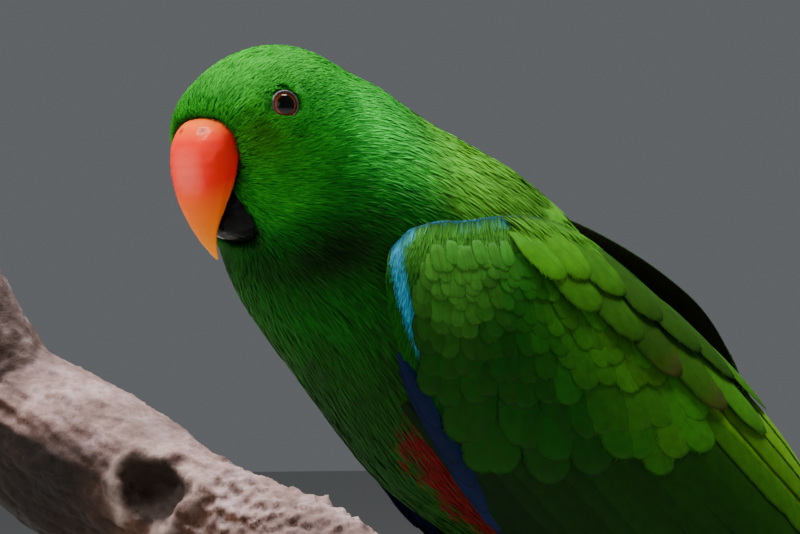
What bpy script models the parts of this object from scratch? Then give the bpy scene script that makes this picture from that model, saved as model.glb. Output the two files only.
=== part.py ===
"""Life-size display model of a male eclectus parrot on a cut length of branch and a plain stand.

Metres, +Z up. The origin is the centre of the underside of the stand's base. The bird faces -X and
its left side is -Y. Places on the body are given along its sloping axis, up from it and sideways.
"""

import functools
import math

import bmesh
import bpy
import numpy as np
from mathutils import Matrix, Vector

MM = 0.001
GAP = 0.3 * MM
FLAT_ANGLE = math.radians(0.8)

# Body axis
SHOULDER = Vector((-39.8, 0.0, 224.9)) * MM
BODY_SLOPE = math.radians(45.0)
BACKWARD = Vector((math.cos(BODY_SLOPE), 0.0, -math.sin(BODY_SLOPE)))
DORSAL = Vector((math.sin(BODY_SLOPE), 0.0, math.cos(BODY_SLOPE)))
SIDEWAYS = Vector((0.0, 1.0, 0.0))

# Flesh of the neck and torso: place along the axis, depth above it, depth below it, half width
BODY_STATIONS = (
    (-60, 22, 20, 17), (-44, 31, 30, 25), (-31, 33.5, 36.5, 30), (-16, 37.5, 39.5, 34),
    (0, 42.5, 41, 37), (20, 45, 43.5, 39), (40, 43.5, 45, 38.5), (64, 40, 41, 36),
    (90, 34, 33, 31), (120, 25, 22, 23), (147, 18, 4, 14),
)
HEAD_CUT = -37 * MM
NECK_CUT = -11 * MM
RUMP_CUT = 146 * MM
BODY_SIDES = 36
BLEND_POWER = 16

# Head
HEAD_CENTRE = Vector((-79.9, -4.0, 259.7)) * MM
HEAD_RADII = Vector((32.0, 24.5, 29.0)) * MM
HEAD_YAW = math.radians(24.0)
HEAD_PITCH = math.radians(20.0)
HEAD_ROWS = 9
# Swells and hollows of the face: way forward, to each side and up, spread, height in millimetres
FACE_FORMS = (
    (0.62, 0.62, -0.48, 0.42, 1.4), (0.76, 0.40, 0.50, 0.40, 2.6),
    (0.98, 0.0, 0.12, 0.50, -9.8), (0.86, 0.0, -0.42, 0.30, -4.6),
)

# Eye, in the head's own axes: forward, to the side, up
EYE_FORWARD = 7.9 * MM
EYE_UP = 15.8 * MM
EYE_RADIUS = 5.0 * MM
LID_RING_RADIUS = 4.5 * MM
LID_THICKNESS = 0.65 * MM
LID_STEPS = 12
LID_SIDES = 6
EYE_LOOK_FORWARD = math.radians(15.0)

# Bill, in the head's own axes: forward and up for the ridge and the cutting edge, then half width
UPPER_BILL = (
    (15.0, 13.5, 12.0, 3.0, 9.9), (22.6, 17.0, 16.2, 4.0, 11.3), (29.0, 13.6, 19.8, 2.6, 11.2),
    (32.6, 6.5, 21.6, 0.0, 10.7), (33.8, -1.5, 23.8, -2.8, 9.7), (33.8, -8.5, 26.8, -7.0, 7.5),
    (32.8, -15.0, 30.0, -12.5, 4.4), (31.6, -19.0, 30.6, -17.2, 2.4), (30.2, -22.4, 30.0, -21.6, 0.6),
)
LOWER_BILL = (
    (12.0, 3.0, 10.0, -17.0, 9.6), (17.5, 2.6, 14.5, -19.8, 11.2), (21.8, -1.0, 19.4, -20.4, 10.4),
    (25.6, -6.0, 24.0, -18.6, 7.4), (28.2, -10.8, 27.6, -15.2, 3.8),
)
BILL_SIDES = 16
UPPER_BILL_ROWS = 12
LOWER_BILL_ROWS = 7
NOSTRIL_AHEAD = 50.0 * MM
NOSTRIL_ASIDE = 4.4 * MM
NOSTRIL_UP = 38.0 * MM
NOSTRIL_RADIUS = 1.1 * MM

# Folded wing: place along the axis, lower edge, turn of the upper edge in degrees, radius over
# the back, half span, thickness
WING_STATIONS = (
    (-15.5, -7, 2, 48, 37.3, 3), (-12, -13, 10, 48, 39.5, 5.5), (-6, -19, 18, 48, 41.3, 7),
    (0, -22.5, 28, 48.5, 42.5, 8), (12, -28, 44, 49, 44, 8), (35, -33, 62, 50, 44, 8),
    (65, -36, 75, 51, 42.5, 7), (95, -36, 80, 49.5, 39, 5.5), (122, -34, 76, 45, 34.5, 4),
    (142, -29, 58, 38.5, 30.5, 2.6), (152, -23, 20, 36, 28.5, 1.6),
)
WING_VENTRAL_RADIUS = 60 * MM
WING_TIP_NARROWING = 0.07
WING_CLEARANCE = 0.95 * MM
WING_EDGE = 1.0 * MM
FEATHER_FLOOR = 3.2 * MM
WING_ROWS = 12
WING_COLUMNS = 8
FAR_WING_LIFT = 13.0 * MM
LIFT_TURN = 1.1
LIFT_START = 30 * MM
LIFT_END = 70 * MM
LIFT_FADE = 60 * MM

# Covert rows, set square to their lie: distance down the lie, first and last place across it,
# number, length, width
COVERT_ROWS = (
    (-10, -1, 16, 3, 15, 11.0), (-1, -9, 22, 4, 17, 12.0), (9, -9, 34, 5, 18, 13.0),
    (20, -7, 46, 5, 21, 14.0), (31, 1, 62, 6, 25, 14.5),
)
COVERT_LIE = math.radians(-43.0)
COVERT_FAN = math.radians(26.0)
COVERT_FAN_WIDTH = 60
COVERT_STAGGER = math.radians(2.4)
COVERT_LIFT = 1.5
# Feathers along the wing: root along and across, tip along and across, width, lift over the wing
SCAPULARS = (
    (9, 27, 41, 26, 15, 2.2), (18, 38, 53, 36, 16, 2.4), (29, 32, 66, 29, 16, 2.4),
    (38, 48, 77, 45, 16, 2.6), (50, 38, 90, 34, 16, 2.5), (62, 54, 103, 51, 15, 2.4),
)
PRIMARY_COVERTS = ((14, -30, 50, -35.5, 10, 1.4), (25, -33, 64, -37, 10, 1.5), (36, -31, 78, -33, 11, 1.7))
ALULA = ((0, -20, 30, -31, 8, 2.2), (8, -24, 42, -35.5, 8, 1.9))
PRIMARY_COUNT = 6
PRIMARY_FIRST = (34, -36, 207, -25, 10, 0.2)
PRIMARY_LAST = (62, -26, 178, -1, 13, 1.1)
PRIMARY_REACH = 26.0
SECONDARY_COUNT = 6
SECONDARY_FIRST = (40, -26, 172, -13, 14, 1.2)
SECONDARY_LAST = (64, 18, 152, 29, 15, 2.1)
TERTIALS = ((72, 30, 150, 37, 15, 2.4), (78, 42, 144, 47, 15, 2.7), (86, 54, 136, 57, 14, 2.9))

# Feather blades
VANE_THICKNESS = 0.85 * MM
VANE_CROWN = 0.35 * MM
ROOT_DEPTH = 1.6 * MM
TIP_WIDTH = 0.6
TIP_ROUNDING = 0.07
FLIGHT_ROLL = 0.10
COVERT_ROLL = 0.07

# Tail: root and tip in the body's axes
TAIL_ROOT = (142.0, 9.0)
TAIL_TIP = (273.0, -22.0)
TAIL_FEATHERS = 12
TAIL_START = 12.0
TAIL_WIDTH = 15.0
TAIL_STEP = 9.0
# Distance from the middle at the root and at the tip, for the inner and the outer pair
TAIL_INNER = (2.0, 4.2)
TAIL_OUTER = (9.5, 14.7)
TAIL_CORE_HALF = 13 * MM
TAIL_CORE_DEPTH = 13 * MM
TAIL_CORE_LENGTH = 45 * MM
TAIL_CORE_TAPER = 0.72
TAIL_COVERTS = (
    (8, -6, 50, -8, 13, 0.8), (8, 6, 50, 8, 13, 0.8), (14, 0, 62, 0, 14, 1.0),
)
TAIL_ARCH = 1.6 * MM
TAIL_LAYER = 1.05
TAIL_ROLL = 0.03

# Branch, its two cut ends measured from the point under the feet
BRANCH_POINT = Vector((3.0, 0.0, 100.3)) * MM
BRANCH_WAY = Vector((0.526, -0.752, -0.399)).normalized()
BRANCH_RADIUS = 20 * MM
BRANCH_FAR_END = -218 * MM
BRANCH_NEAR_END = 62 * MM
BRANCH_SIDES = 20
BRANCH_ROWS = 20
BARE_BARK = 40 * MM
KNOT_ALONG = -138 * MM
KNOT_ANGLE = math.radians(58.0)
KNOT_SIZE = (13 * MM, 9 * MM, 11 * MM)
KNOT_RIM = 3.5
STUB_ALONG = -205 * MM
STUB_LEAN = math.radians(44.0)
STUB_STEPS = (0, 14, 30, 48, 66)
STUB_RADII = (15, 15, 13, 11.5, 11)

# Legs and feet
FOOT_SPACING = 20 * MM
TOE_RADIUS = 2.9 * MM
TOE_ROWS = 6
# Each toe: forward or back round the branch, splay along it, degrees round it
TOES = ((1, 4.5, 56), (1, -4.5, 62), (-1, 4.0, 58), (-1, -5.0, 50))
CLAW_LENGTH = 11 * MM
CLAW_RADII = (2.0 * MM, 1.7 * MM, 1.15 * MM, 0.3 * MM)
TARSUS_RADIUS = 3.4 * MM
THIGH_RADIUS = 11 * MM
# Hip of the left and the right leg: along the body, up and to the side
HIPS = {-1: (83 * MM, -20 * MM, 16 * MM), 1: (68 * MM, -24 * MM, 16 * MM)}

# Stand
BASE_RADIUS = 88 * MM
BASE_HEIGHT = 12 * MM
BASE_RIM = 3 * MM
BASE_SIDES = 36
ROD_RADIUS = 5 * MM
ROD_OFFSET = -12 * MM


def material(name, colour, roughness, metallic=0.0):
    """A plain Principled material."""
    made = bpy.data.materials.new(name)
    made.use_nodes = True
    shader = made.node_tree.nodes["Principled BSDF"]
    shader.inputs["Base Color"].default_value = (*colour, 1.0)
    shader.inputs["Roughness"].default_value = roughness
    shader.inputs["Metallic"].default_value = metallic
    return made


def body_point(along, up, side):
    """World place of a point given in the body's own axes."""
    return SHOULDER + BACKWARD * along + DORSAL * up + SIDEWAYS * side


@functools.lru_cache(maxsize=None)
def table_rows(table):
    return np.array(table, dtype=float) * MM


def table_at(table, place):
    """Smooth reading, at a place in metres, of a table whose rows are in millimetres."""
    rows = table_rows(table)
    place = min(max(place, rows[0, 0]), rows[-1, 0])
    i = int(np.searchsorted(rows[1:-1, 0], place, side="right"))
    a, b = rows[i], rows[i + 1]
    before = rows[max(i - 1, 0)]
    after = rows[min(i + 2, len(rows) - 1)]
    t = (place - a[0]) / (b[0] - a[0])
    step = b[0] - a[0]
    slope_a = (b[1:] - before[1:]) / (b[0] - before[0]) * step
    slope_b = (after[1:] - a[1:]) / (after[0] - a[0]) * step
    h00 = 2 * t**3 - 3 * t**2 + 1
    h10 = t**3 - 2 * t**2 + t
    return h00 * a[1:] + h10 * slope_a + (1 - h00) * b[1:] + (t**3 - t**2) * slope_b


def smooth_step(value):
    value = min(max(value, 0.0), 1.0)
    return value * value * (3.0 - 2.0 * value)


def head_axes():
    """Forward, left and up of the turned and lowered head."""
    level = Vector((-math.cos(HEAD_YAW), -math.sin(HEAD_YAW), 0.0))
    up = Vector((0.0, 0.0, 1.0))
    forward = level * math.cos(HEAD_PITCH) - up * math.sin(HEAD_PITCH)
    crown = level * math.sin(HEAD_PITCH) + up * math.cos(HEAD_PITCH)
    return forward, crown.cross(forward), crown


FORWARD, LEFT, CROWN = head_axes()


def head_point(forward, left, up):
    return HEAD_CENTRE + FORWARD * forward + LEFT * left + CROWN * up


def ray_ellipsoid(origin, way):
    """Distance from a point inside the head's ellipsoid to its surface."""
    offset = origin - HEAD_CENTRE
    a = Vector((offset.dot(axis) / r for axis, r in zip((FORWARD, LEFT, CROWN), HEAD_RADII)))
    b = Vector((way.dot(axis) / r for axis, r in zip((FORWARD, LEFT, CROWN), HEAD_RADII)))
    mid = a.dot(b)
    room = mid * mid - b.dot(b) * (a.dot(a) - 1.0)
    if room <= 0.0:
        return 0.0
    return (-mid + math.sqrt(room)) / b.dot(b)


def face_form(point):
    """Height that the cheeks, forehead and bill seat add to the head's ellipsoid."""
    way = (point - HEAD_CENTRE).normalized()
    height = 0.0
    for forward, left, up, spread, amount in FACE_FORMS:
        for side in (-1, 1):
            centre = (FORWARD * forward + LEFT * left * side + CROWN * up).normalized()
            share = 0.5 if left == 0.0 else 1.0
            height += share * amount * MM * math.exp(-(((way - centre).length / spread) ** 2))
    return height


HEAD_ALONG = (HEAD_CENTRE - SHOULDER).dot(BACKWARD)
HEAD_UP = (HEAD_CENTRE - SHOULDER).dot(DORSAL)


def body_radius(along, angle, up=0.0, side=0.0):
    """Distance to the body's surface from a point near its axis."""
    above, below, width = table_at(BODY_STATIONS, along)
    depth = above if math.sin(angle) > 0 else below
    c = math.cos(angle) / width
    s = math.sin(angle) / depth
    x = side / width
    y = up / depth
    mid = x * c + y * s
    return (-mid + math.sqrt(mid * mid - (c * c + s * s) * (x * x + y * y - 1.0))) / (c * c + s * s)


def flesh_point(along, angle):
    """Point of the skin: the body's loft blended with the head's ellipsoid."""
    share = 1.0 - smooth_step((along - HEAD_ALONG) / (NECK_CUT - HEAD_ALONG))
    up = HEAD_UP * share
    side = HEAD_CENTRE.y * share
    origin = body_point(along, up, side)
    way = DORSAL * math.sin(angle) + SIDEWAYS * math.cos(angle)
    body = body_radius(along, angle, up, side)
    skull = ray_ellipsoid(origin, way)
    reach = (body**BLEND_POWER + skull**BLEND_POWER) ** (1.0 / BLEND_POWER)
    point = origin + way * reach
    if skull > 0.0:
        point += way * face_form(point)
    return point


def crown_point(polar, angle):
    """Point of the head ahead of its centre, by the angle off the body's axis."""
    way = -BACKWARD * math.cos(polar)
    way += (DORSAL * math.sin(angle) + SIDEWAYS * math.cos(angle)) * math.sin(polar)
    point = HEAD_CENTRE + way * ray_ellipsoid(HEAD_CENTRE, way)
    return point + way * face_form(point)


def new_object(name, bm, collection, mat=None):
    """Object from a bmesh, its faces turned outward."""
    bmesh.ops.remove_doubles(bm, verts=bm.verts, dist=0.00001)
    bmesh.ops.recalc_face_normals(bm, faces=bm.faces)
    mesh = bpy.data.meshes.new(name)
    bm.to_mesh(mesh)
    bm.free()
    made = bpy.data.objects.new(name, mesh)
    collection.objects.link(made)
    if mat:
        mesh.materials.append(mat)
    return made


def loft(rings, closed_start=True, closed_end=True):
    """Skin over rings of points, with flat ends."""
    bm = bmesh.new()
    made = [[bm.verts.new(p) for p in ring] for ring in rings]
    for one, two in zip(made, made[1:]):
        count = len(one)
        for i in range(count):
            j = (i + 1) % count
            bm.faces.new((one[i], one[j], two[j], two[i]))
    if closed_start:
        bm.faces.new(made[0][::-1])
    if closed_end:
        bm.faces.new(made[-1])
    return bm


def slab(top, bottom):
    """Thin closed body between two grids, split into triangles alike on both faces."""
    bm = bmesh.new()
    upper = [[bm.verts.new(p) for p in row] for row in top]
    lower = [[bm.verts.new(p) for p in row] for row in bottom]
    for grid, flip in ((upper, False), (lower, True)):
        for one, two in zip(grid, grid[1:]):
            for i in range(len(one) - 1):
                for tri in ((one[i], two[i], two[i + 1]), (one[i], two[i + 1], one[i + 1])):
                    bm.faces.new(tri[::-1] if flip else tri)
    rim_top = upper[0] + [row[-1] for row in upper[1:]] + upper[-1][-2::-1]
    rim_top += [row[0] for row in upper[-2:0:-1]]
    rim_low = lower[0] + [row[-1] for row in lower[1:]] + lower[-1][-2::-1]
    rim_low += [row[0] for row in lower[-2:0:-1]]
    for i in range(len(rim_top)):
        j = (i + 1) % len(rim_top)
        bm.faces.new((rim_top[i], rim_top[j], rim_low[j]))
        bm.faces.new((rim_top[i], rim_low[j], rim_low[i]))
    return bm


def tube(path, radii, sides=8, flatten=1.0, across=None):
    """Rings round a path; flatten squeezes them along the given direction."""
    rings = []
    for i, (point, radius) in enumerate(zip(path, radii)):
        way = (path[min(i + 1, len(path) - 1)] - path[max(i - 1, 0)]).normalized()
        hint = across if across else Vector((0.0, 0.0, 1.0))
        if not across and abs(way.z) > 0.9:
            hint = Vector((1.0, 0.0, 0.0))
        side = way.cross(hint).normalized()
        up = side.cross(way).normalized()
        ring = []
        for k in range(sides):
            angle = 2 * math.pi * k / sides
            ring.append(point + side * radius * math.cos(angle) + up * radius * flatten * math.sin(angle))
        rings.append(ring)
    return loft(rings)


def boolean(target, operation, other=None, group=None, solver="EXACT"):
    """Apply a Boolean and keep the largest closed surface."""
    cut = target.modifiers.new(operation.title(), "BOOLEAN")
    cut.operation = operation
    cut.solver = solver
    if group:
        cut.operand_type = "COLLECTION"
        cut.collection = group
    else:
        cut.object = other
    bpy.context.view_layer.update()
    evaluated = target.evaluated_get(bpy.context.evaluated_depsgraph_get())
    result = bpy.data.meshes.new_from_object(evaluated)
    target.modifiers.remove(cut)
    old = target.data
    target.data = result
    bpy.data.meshes.remove(old)
    keep_largest(target)


def keep_largest(target):
    """Drop every loose scrap but the largest body."""
    bm = bmesh.new()
    bm.from_mesh(target.data)
    bmesh.ops.dissolve_limit(bm, angle_limit=FLAT_ANGLE, verts=bm.verts, edges=bm.edges)
    bmesh.ops.triangulate(bm, faces=bm.faces)
    bmesh.ops.dissolve_degenerate(bm, dist=0.000002, edges=bm.edges)
    unseen = set(bm.verts)
    bodies = []
    while unseen:
        stack = [unseen.pop()]
        body = []
        while stack:
            vert = stack.pop()
            body.append(vert)
            for edge in vert.link_edges:
                other = edge.other_vert(vert)
                if other in unseen:
                    unseen.remove(other)
                    stack.append(other)
        bodies.append(body)
    bodies.sort(key=len)
    for body in bodies[:-1]:
        bmesh.ops.delete(bm, geom=body, context="VERTS")
    bm.to_mesh(target.data)
    bm.free()


def join_all(target, name, pieces, solver="MANIFOLD"):
    """Union of loose closed pieces into one object."""
    group = bpy.data.collections.new(name + "_pieces")
    bpy.context.scene.collection.children.link(group)
    for i, bm in enumerate(pieces):
        new_object(name + "_piece_" + str(i), bm, group)
    boolean(target, "UNION", group=group, solver=solver)
    for piece in list(group.objects):
        bpy.data.objects.remove(piece)
    bpy.data.collections.remove(group)


def inflated(source, amount, name, collection):
    """Copy of a solid, grown along its vertex normals, used as a cutter."""
    bm = bmesh.new()
    bm.from_mesh(source.data)
    bmesh.ops.recalc_face_normals(bm, faces=bm.faces)
    bm.normal_update()
    moved = [vert.co + vert.normal * amount for vert in bm.verts]
    for vert, place in zip(bm.verts, moved):
        vert.co = place
    made = new_object(name, bm, collection)
    made.hide_render = True
    made.display_type = "WIRE"
    return made


def ball(centre, radius, name, collection, segments=12, mat=None):
    """Sphere; one without a material is a cutter."""
    bm = bmesh.new()
    bmesh.ops.create_uvsphere(bm, u_segments=segments, v_segments=segments // 2 + 2, radius=radius)
    bmesh.ops.translate(bm, verts=bm.verts, vec=centre)
    made = new_object(name, bm, collection, mat)
    if not mat:
        made.hide_render = True
        made.display_type = "WIRE"
    return made


def body_ring(along):
    return [flesh_point(along, 2 * math.pi * k / BODY_SIDES) for k in range(BODY_SIDES)]


def body_rings(start, end, count):
    return [body_ring(start + (end - start) * i / (count - 1)) for i in range(count)]


def make_head(parts, mat):
    """Head ahead of the neck cut, as one skin with a pole at the crown."""
    rings = []
    for i in range(1, HEAD_ROWS):
        polar = math.pi / 2 * i / HEAD_ROWS
        rings.append([crown_point(polar, 2 * math.pi * k / BODY_SIDES) for k in range(BODY_SIDES)])
    rings += body_rings(HEAD_ALONG, HEAD_CUT, 5)
    bm = loft(rings, closed_start=False)
    pole = bm.verts.new(crown_point(0.0, 0.0))
    bm.verts.ensure_lookup_table()
    for k in range(BODY_SIDES):
        bm.faces.new((pole, bm.verts[(k + 1) % BODY_SIDES], bm.verts[k]))
    return new_object("head", bm, parts, mat)


def eye_frame(side):
    """Surface point of an eye and the way it looks."""
    f = EYE_FORWARD / HEAD_RADII[0]
    u = EYE_UP / HEAD_RADII[2]
    left = HEAD_RADII[1] * math.sqrt(1.0 - f * f - u * u) * side
    look = FORWARD * math.sin(EYE_LOOK_FORWARD) + LEFT * side * math.cos(EYE_LOOK_FORWARD)
    look += CROWN * 0.22
    return head_point(EYE_FORWARD, left, EYE_UP), look.normalized()


def make_eyes(parts, cutters, head, mat):
    """Lids joined to the head, sockets cut behind them and an eyeball in each."""
    depth = math.sqrt((EYE_RADIUS + LID_THICKNESS + GAP) ** 2 - LID_RING_RADIUS**2)
    lids = []
    for side in (1, -1):
        place, look = eye_frame(side)
        turn = look.to_track_quat("Z", "Y").to_matrix().to_4x4()
        bm = bmesh.new()
        rings = []
        for i in range(LID_STEPS):
            angle = 2 * math.pi * i / LID_STEPS
            out = Vector((math.cos(angle), math.sin(angle), 0.0))
            ring = []
            for k in range(LID_SIDES):
                roll = 2 * math.pi * k / LID_SIDES
                reach = LID_RING_RADIUS + LID_THICKNESS * math.cos(roll)
                ring.append(turn @ (out * reach + Vector((0, 0, LID_THICKNESS * math.sin(roll)))) + place)
            rings.append([bm.verts.new(p) for p in ring])
        for i in range(LID_STEPS):
            one, two = rings[i], rings[(i + 1) % LID_STEPS]
            for k in range(LID_SIDES):
                j = (k + 1) % LID_SIDES
                bm.faces.new((one[k], one[j], two[j], two[k]))
        lids.append(bm)
    join_all(head, "lids", lids)
    for side, name in ((1, "eye_left"), (-1, "eye_right")):
        place, look = eye_frame(side)
        centre = place - look * depth
        socket = ball(centre, EYE_RADIUS + GAP * 0.8, name + "_socket", cutters)
        boolean(head, "DIFFERENCE", socket, solver="MANIFOLD")
        ball(centre, EYE_RADIUS, name, parts, mat=mat)


def bill_rings(rows, edge_square):
    """Rings of a bill from its ridge, its edge and its half width; a low number squares the edge."""
    rings = []
    for ridge_f, ridge_u, edge_f, edge_u, half in rows:
        ridge = Vector((ridge_f, ridge_u)) * MM
        edge = Vector((edge_f, edge_u)) * MM
        mid = (ridge + edge) / 2
        reach = (ridge - edge) / 2
        ring = []
        for k in range(BILL_SIDES):
            angle = 2 * math.pi * k / BILL_SIDES
            square = 1.0 if math.sin(angle) > 0 else edge_square
            flat = mid + reach * math.copysign(abs(math.sin(angle)) ** square, math.sin(angle))
            width = half * MM * math.copysign(abs(math.cos(angle)) ** (0.45 + 0.4 * square), math.cos(angle))
            ring.append(head_point(flat.x, width, flat.y))
        rings.append(ring)
    return rings


def smooth_rows(rows, count):
    """More rows along a table, read smoothly by row number."""
    numbered = tuple((i / MM, *row) for i, row in enumerate(rows))
    last = len(rows) - 1
    return [tuple(table_at(numbered, last * i / (count - 1)) / MM) for i in range(count)]


def make_bills(parts, cutters, head, upper_mat, lower_mat):
    """Hooked upper bill and short lower bill, each in a socket of the head."""
    upper_rings = bill_rings(smooth_rows(UPPER_BILL, UPPER_BILL_ROWS), 0.5)
    lower_rings = bill_rings(smooth_rows(LOWER_BILL, LOWER_BILL_ROWS), 0.9)
    upper = new_object("bill_upper", loft(upper_rings), parts, upper_mat)
    lower = new_object("bill_lower", loft(lower_rings), parts, lower_mat)
    upper_clearance = inflated(upper, GAP, "upper_clearance", cutters)
    lower_clearance = inflated(lower, GAP, "lower_clearance", cutters)
    boolean(lower, "DIFFERENCE", upper_clearance)
    boolean(head, "DIFFERENCE", upper_clearance)
    boolean(head, "DIFFERENCE", lower_clearance)
    for side in (-1, 1):
        start = head_point(NOSTRIL_AHEAD, NOSTRIL_ASIDE * side, NOSTRIL_UP)
        _, place, _, _ = upper.ray_cast(start, -(FORWARD + CROWN).normalized())
        pit = ball(place, NOSTRIL_RADIUS, "nostril", cutters, 8)
        boolean(upper, "DIFFERENCE", pit)


def wing_outer(along, turn, side, lift):
    """Height and sideways place on a folded wing's outer surface, by the angle round the body."""
    _, _, radius, span, _ = table_at(WING_STATIONS, along)
    past = max(0.0, along - WING_STATIONS[-1][0] * MM)
    radius = WING_VENTRAL_RADIUS if turn < 0 else radius - past * WING_TIP_NARROWING
    raised = lift * smooth_step(turn / LIFT_TURN) * smooth_step(along / LIFT_START)
    raised *= 1.0 - smooth_step((along - LIFT_END) / LIFT_FADE)
    span -= past * WING_TIP_NARROWING
    return (radius + raised) * math.sin(turn), span * math.cos(turn) * side


def wing_edges(along):
    """Turn angles of a folded wing's lower and upper edges."""
    low, high, _, _, _ = table_at(WING_STATIONS, along)
    return -math.asin(-low / WING_VENTRAL_RADIUS), math.radians(high / MM)


def wing_core(side, lift):
    """Solid of the folded wing between the torso and the feather tiers."""
    top = []
    bottom = []
    start = WING_STATIONS[0][0] * MM
    end = WING_STATIONS[-1][0] * MM
    for i in range(WING_ROWS):
        t = i / (WING_ROWS - 1)
        along = start + (end - start) * t**1.3
        thick = table_at(WING_STATIONS, along)[4]
        low_turn, high_turn = wing_edges(along)
        outer_row = []
        inner_row = []
        for k in range(WING_COLUMNS):
            s = 2.0 * k / (WING_COLUMNS - 1) - 1.0
            turn = low_turn + (high_turn - low_turn) * (s + 1.0) / 2.0
            up, out = wing_outer(along, turn, side, lift)
            reach = math.hypot(up, out)
            floor = body_radius(along, math.atan2(up, abs(out))) + WING_CLEARANCE
            if along > RUMP_CUT:
                floor = 0.0
            local = max(thick * math.sqrt(1.0 - abs(s) ** 3), WING_EDGE)
            reach = max(reach, floor + WING_EDGE)
            inner = max(reach - local, floor)
            way = Vector((up, out)).normalized()
            outer_row.append(body_point(along, way.x * reach, way.y * reach))
            inner_row.append(body_point(along, way.x * inner, way.y * inner))
        top.append(outer_row)
        bottom.append(inner_row)
    return slab(top, bottom)


def wing_place(along, across, height, side, lift):
    """Point over a folded wing's surface; across is measured round it from its widest line."""
    radius = table_at(WING_STATIONS, along)[2] if across > 0 else WING_VENTRAL_RADIUS
    turn = across / radius
    up, out = wing_outer(along, turn, side, lift)
    way = Vector((math.sin(turn), math.cos(turn) * side))
    floor = body_radius(min(along, RUMP_CUT), math.atan2(up, abs(out))) + FEATHER_FLOOR
    if along < RUMP_CUT and math.hypot(up, out) < floor:
        grow = floor / math.hypot(up, out)
        up *= grow
        out *= grow
    return body_point(along, up + way.x * height, out + way.y * height)


def vane(place, feather, roll, columns=3, rows=5):
    """Feather blade over a surface: sunk at its root, lifted and rounded at its tip."""
    root_along, root_across, tip_along, tip_across, width, lift = (v * MM for v in feather)
    way = Vector((tip_along - root_along, tip_across - root_across))
    length = way.length
    way.normalize()
    beside = Vector((-way.y, way.x))
    top = []
    bottom = []
    for i in range(rows):
        t = i / (rows - 1)
        half = width / 2 * (0.62 + 0.38 * math.sin(math.pi * min(t * 1.3, 1.0)))
        if i == rows - 1:
            half *= TIP_WIDTH
        height = -ROOT_DEPTH + (lift + ROOT_DEPTH) * math.sqrt(t)
        thick = VANE_THICKNESS * (1.15 - 0.45 * t)
        row_top = []
        row_low = []
        for k in range(columns):
            s = 2.0 * k / (columns - 1) - 1.0
            shorter = TIP_ROUNDING * s * s * t**3 if columns > 2 else 0.0
            reach = length * (t - shorter)
            spot = Vector((root_along, root_across)) + way * reach + beside * half * s
            level = height + roll * half * s * smooth_step(t * 2.0)
            crown = VANE_CROWN * (1.0 - s * s)
            row_top.append(place(spot.x, spot.y, level + thick / 2 + crown))
            row_low.append(place(spot.x, spot.y, level - thick / 2 + crown))
        top.append(row_top)
        bottom.append(row_low)
    return slab(top, bottom)


def between(first, last, t):
    return tuple(a + (b - a) * t for a, b in zip(first, last))


def covert_row(place, row, roll):
    """Row of short rounded feathers whose tips point down and back."""
    down, start, end, count, length, width = row
    blades = []
    for i in range(count):
        across = start + (end - start) * i / (count - 1)
        turn = COVERT_LIE + COVERT_FAN * smooth_step(across / COVERT_FAN_WIDTH) - COVERT_STAGGER * (i % 2)
        root_along = down * math.cos(COVERT_LIE) - across * math.sin(COVERT_LIE)
        root_across = down * math.sin(COVERT_LIE) + across * math.cos(COVERT_LIE)
        tip_along = root_along + length * math.cos(turn)
        tip_across = root_across + length * math.sin(turn)
        feather = (root_along, root_across, tip_along, tip_across, width, COVERT_LIFT)
        blades.append(vane(place, feather, roll, columns=2, rows=4))
    return blades


def wing_blades(side, lift):
    """All feather tiers of a folded wing, the flight feathers first."""

    def place(along, across, height):
        return wing_place(along, across, height, side, lift)

    blades = []
    for i in range(PRIMARY_COUNT):
        t = i / (PRIMARY_COUNT - 1)
        feather = list(between(PRIMARY_FIRST, PRIMARY_LAST, t))
        feather[2] += PRIMARY_REACH * math.sin(math.pi * min(0.18 + t * 0.72, 1.0)) ** 1.2
        blades.append(vane(place, feather, -FLIGHT_ROLL, columns=2))
    for i in range(SECONDARY_COUNT):
        feather = between(SECONDARY_FIRST, SECONDARY_LAST, i / (SECONDARY_COUNT - 1))
        blades.append(vane(place, feather, -FLIGHT_ROLL, columns=2))
    for feather in PRIMARY_COVERTS + ALULA:
        blades.append(vane(place, feather, -COVERT_ROLL, columns=2, rows=4))
    for row in reversed(COVERT_ROWS):
        blades += covert_row(place, row, -COVERT_ROLL)
    for feather in TERTIALS + SCAPULARS:
        blades.append(vane(place, feather, -FLIGHT_ROLL, columns=2))
    return blades


def make_wing(name, side, lift, parts, mat):
    """Folded wing: a core against the torso under tiers of overlapping feathers."""
    wing = new_object(name, wing_core(side, lift), parts, mat)
    join_all(wing, name, wing_blades(side, lift))
    return wing


def tail_axes():
    """Root, way back, upward normal and length of the tail."""
    root = body_point(TAIL_ROOT[0] * MM, TAIL_ROOT[1] * MM, 0.0)
    tip = body_point(TAIL_TIP[0] * MM, TAIL_TIP[1] * MM, 0.0)
    way = (tip - root).normalized()
    normal = SIDEWAYS.cross(way)
    if normal.z < 0:
        normal = -normal
    return root, way, normal, (tip - root).length


def tail_core():
    """Fleshy root of the tail, tapering into its feathers."""
    root, way, normal, _ = tail_axes()
    top = []
    bottom = []
    for i in range(5):
        t = i / 4
        half = TAIL_CORE_HALF * (1.0 - 0.25 * t)
        thick = TAIL_CORE_DEPTH * (1.0 - TAIL_CORE_TAPER * t)
        row_top = []
        row_low = []
        for k in range(7):
            s = k / 3 - 1.0
            bulge = math.sqrt(max(1.0 - s * s, 0.06))
            place = root + way * TAIL_CORE_LENGTH * t + SIDEWAYS * half * s - normal * TAIL_ARCH * s * s
            row_top.append(place + normal * thick / 2 * bulge)
            row_low.append(place - normal * thick / 2 * bulge)
        top.append(row_top)
        bottom.append(row_low)
    return slab(top, bottom)


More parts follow.
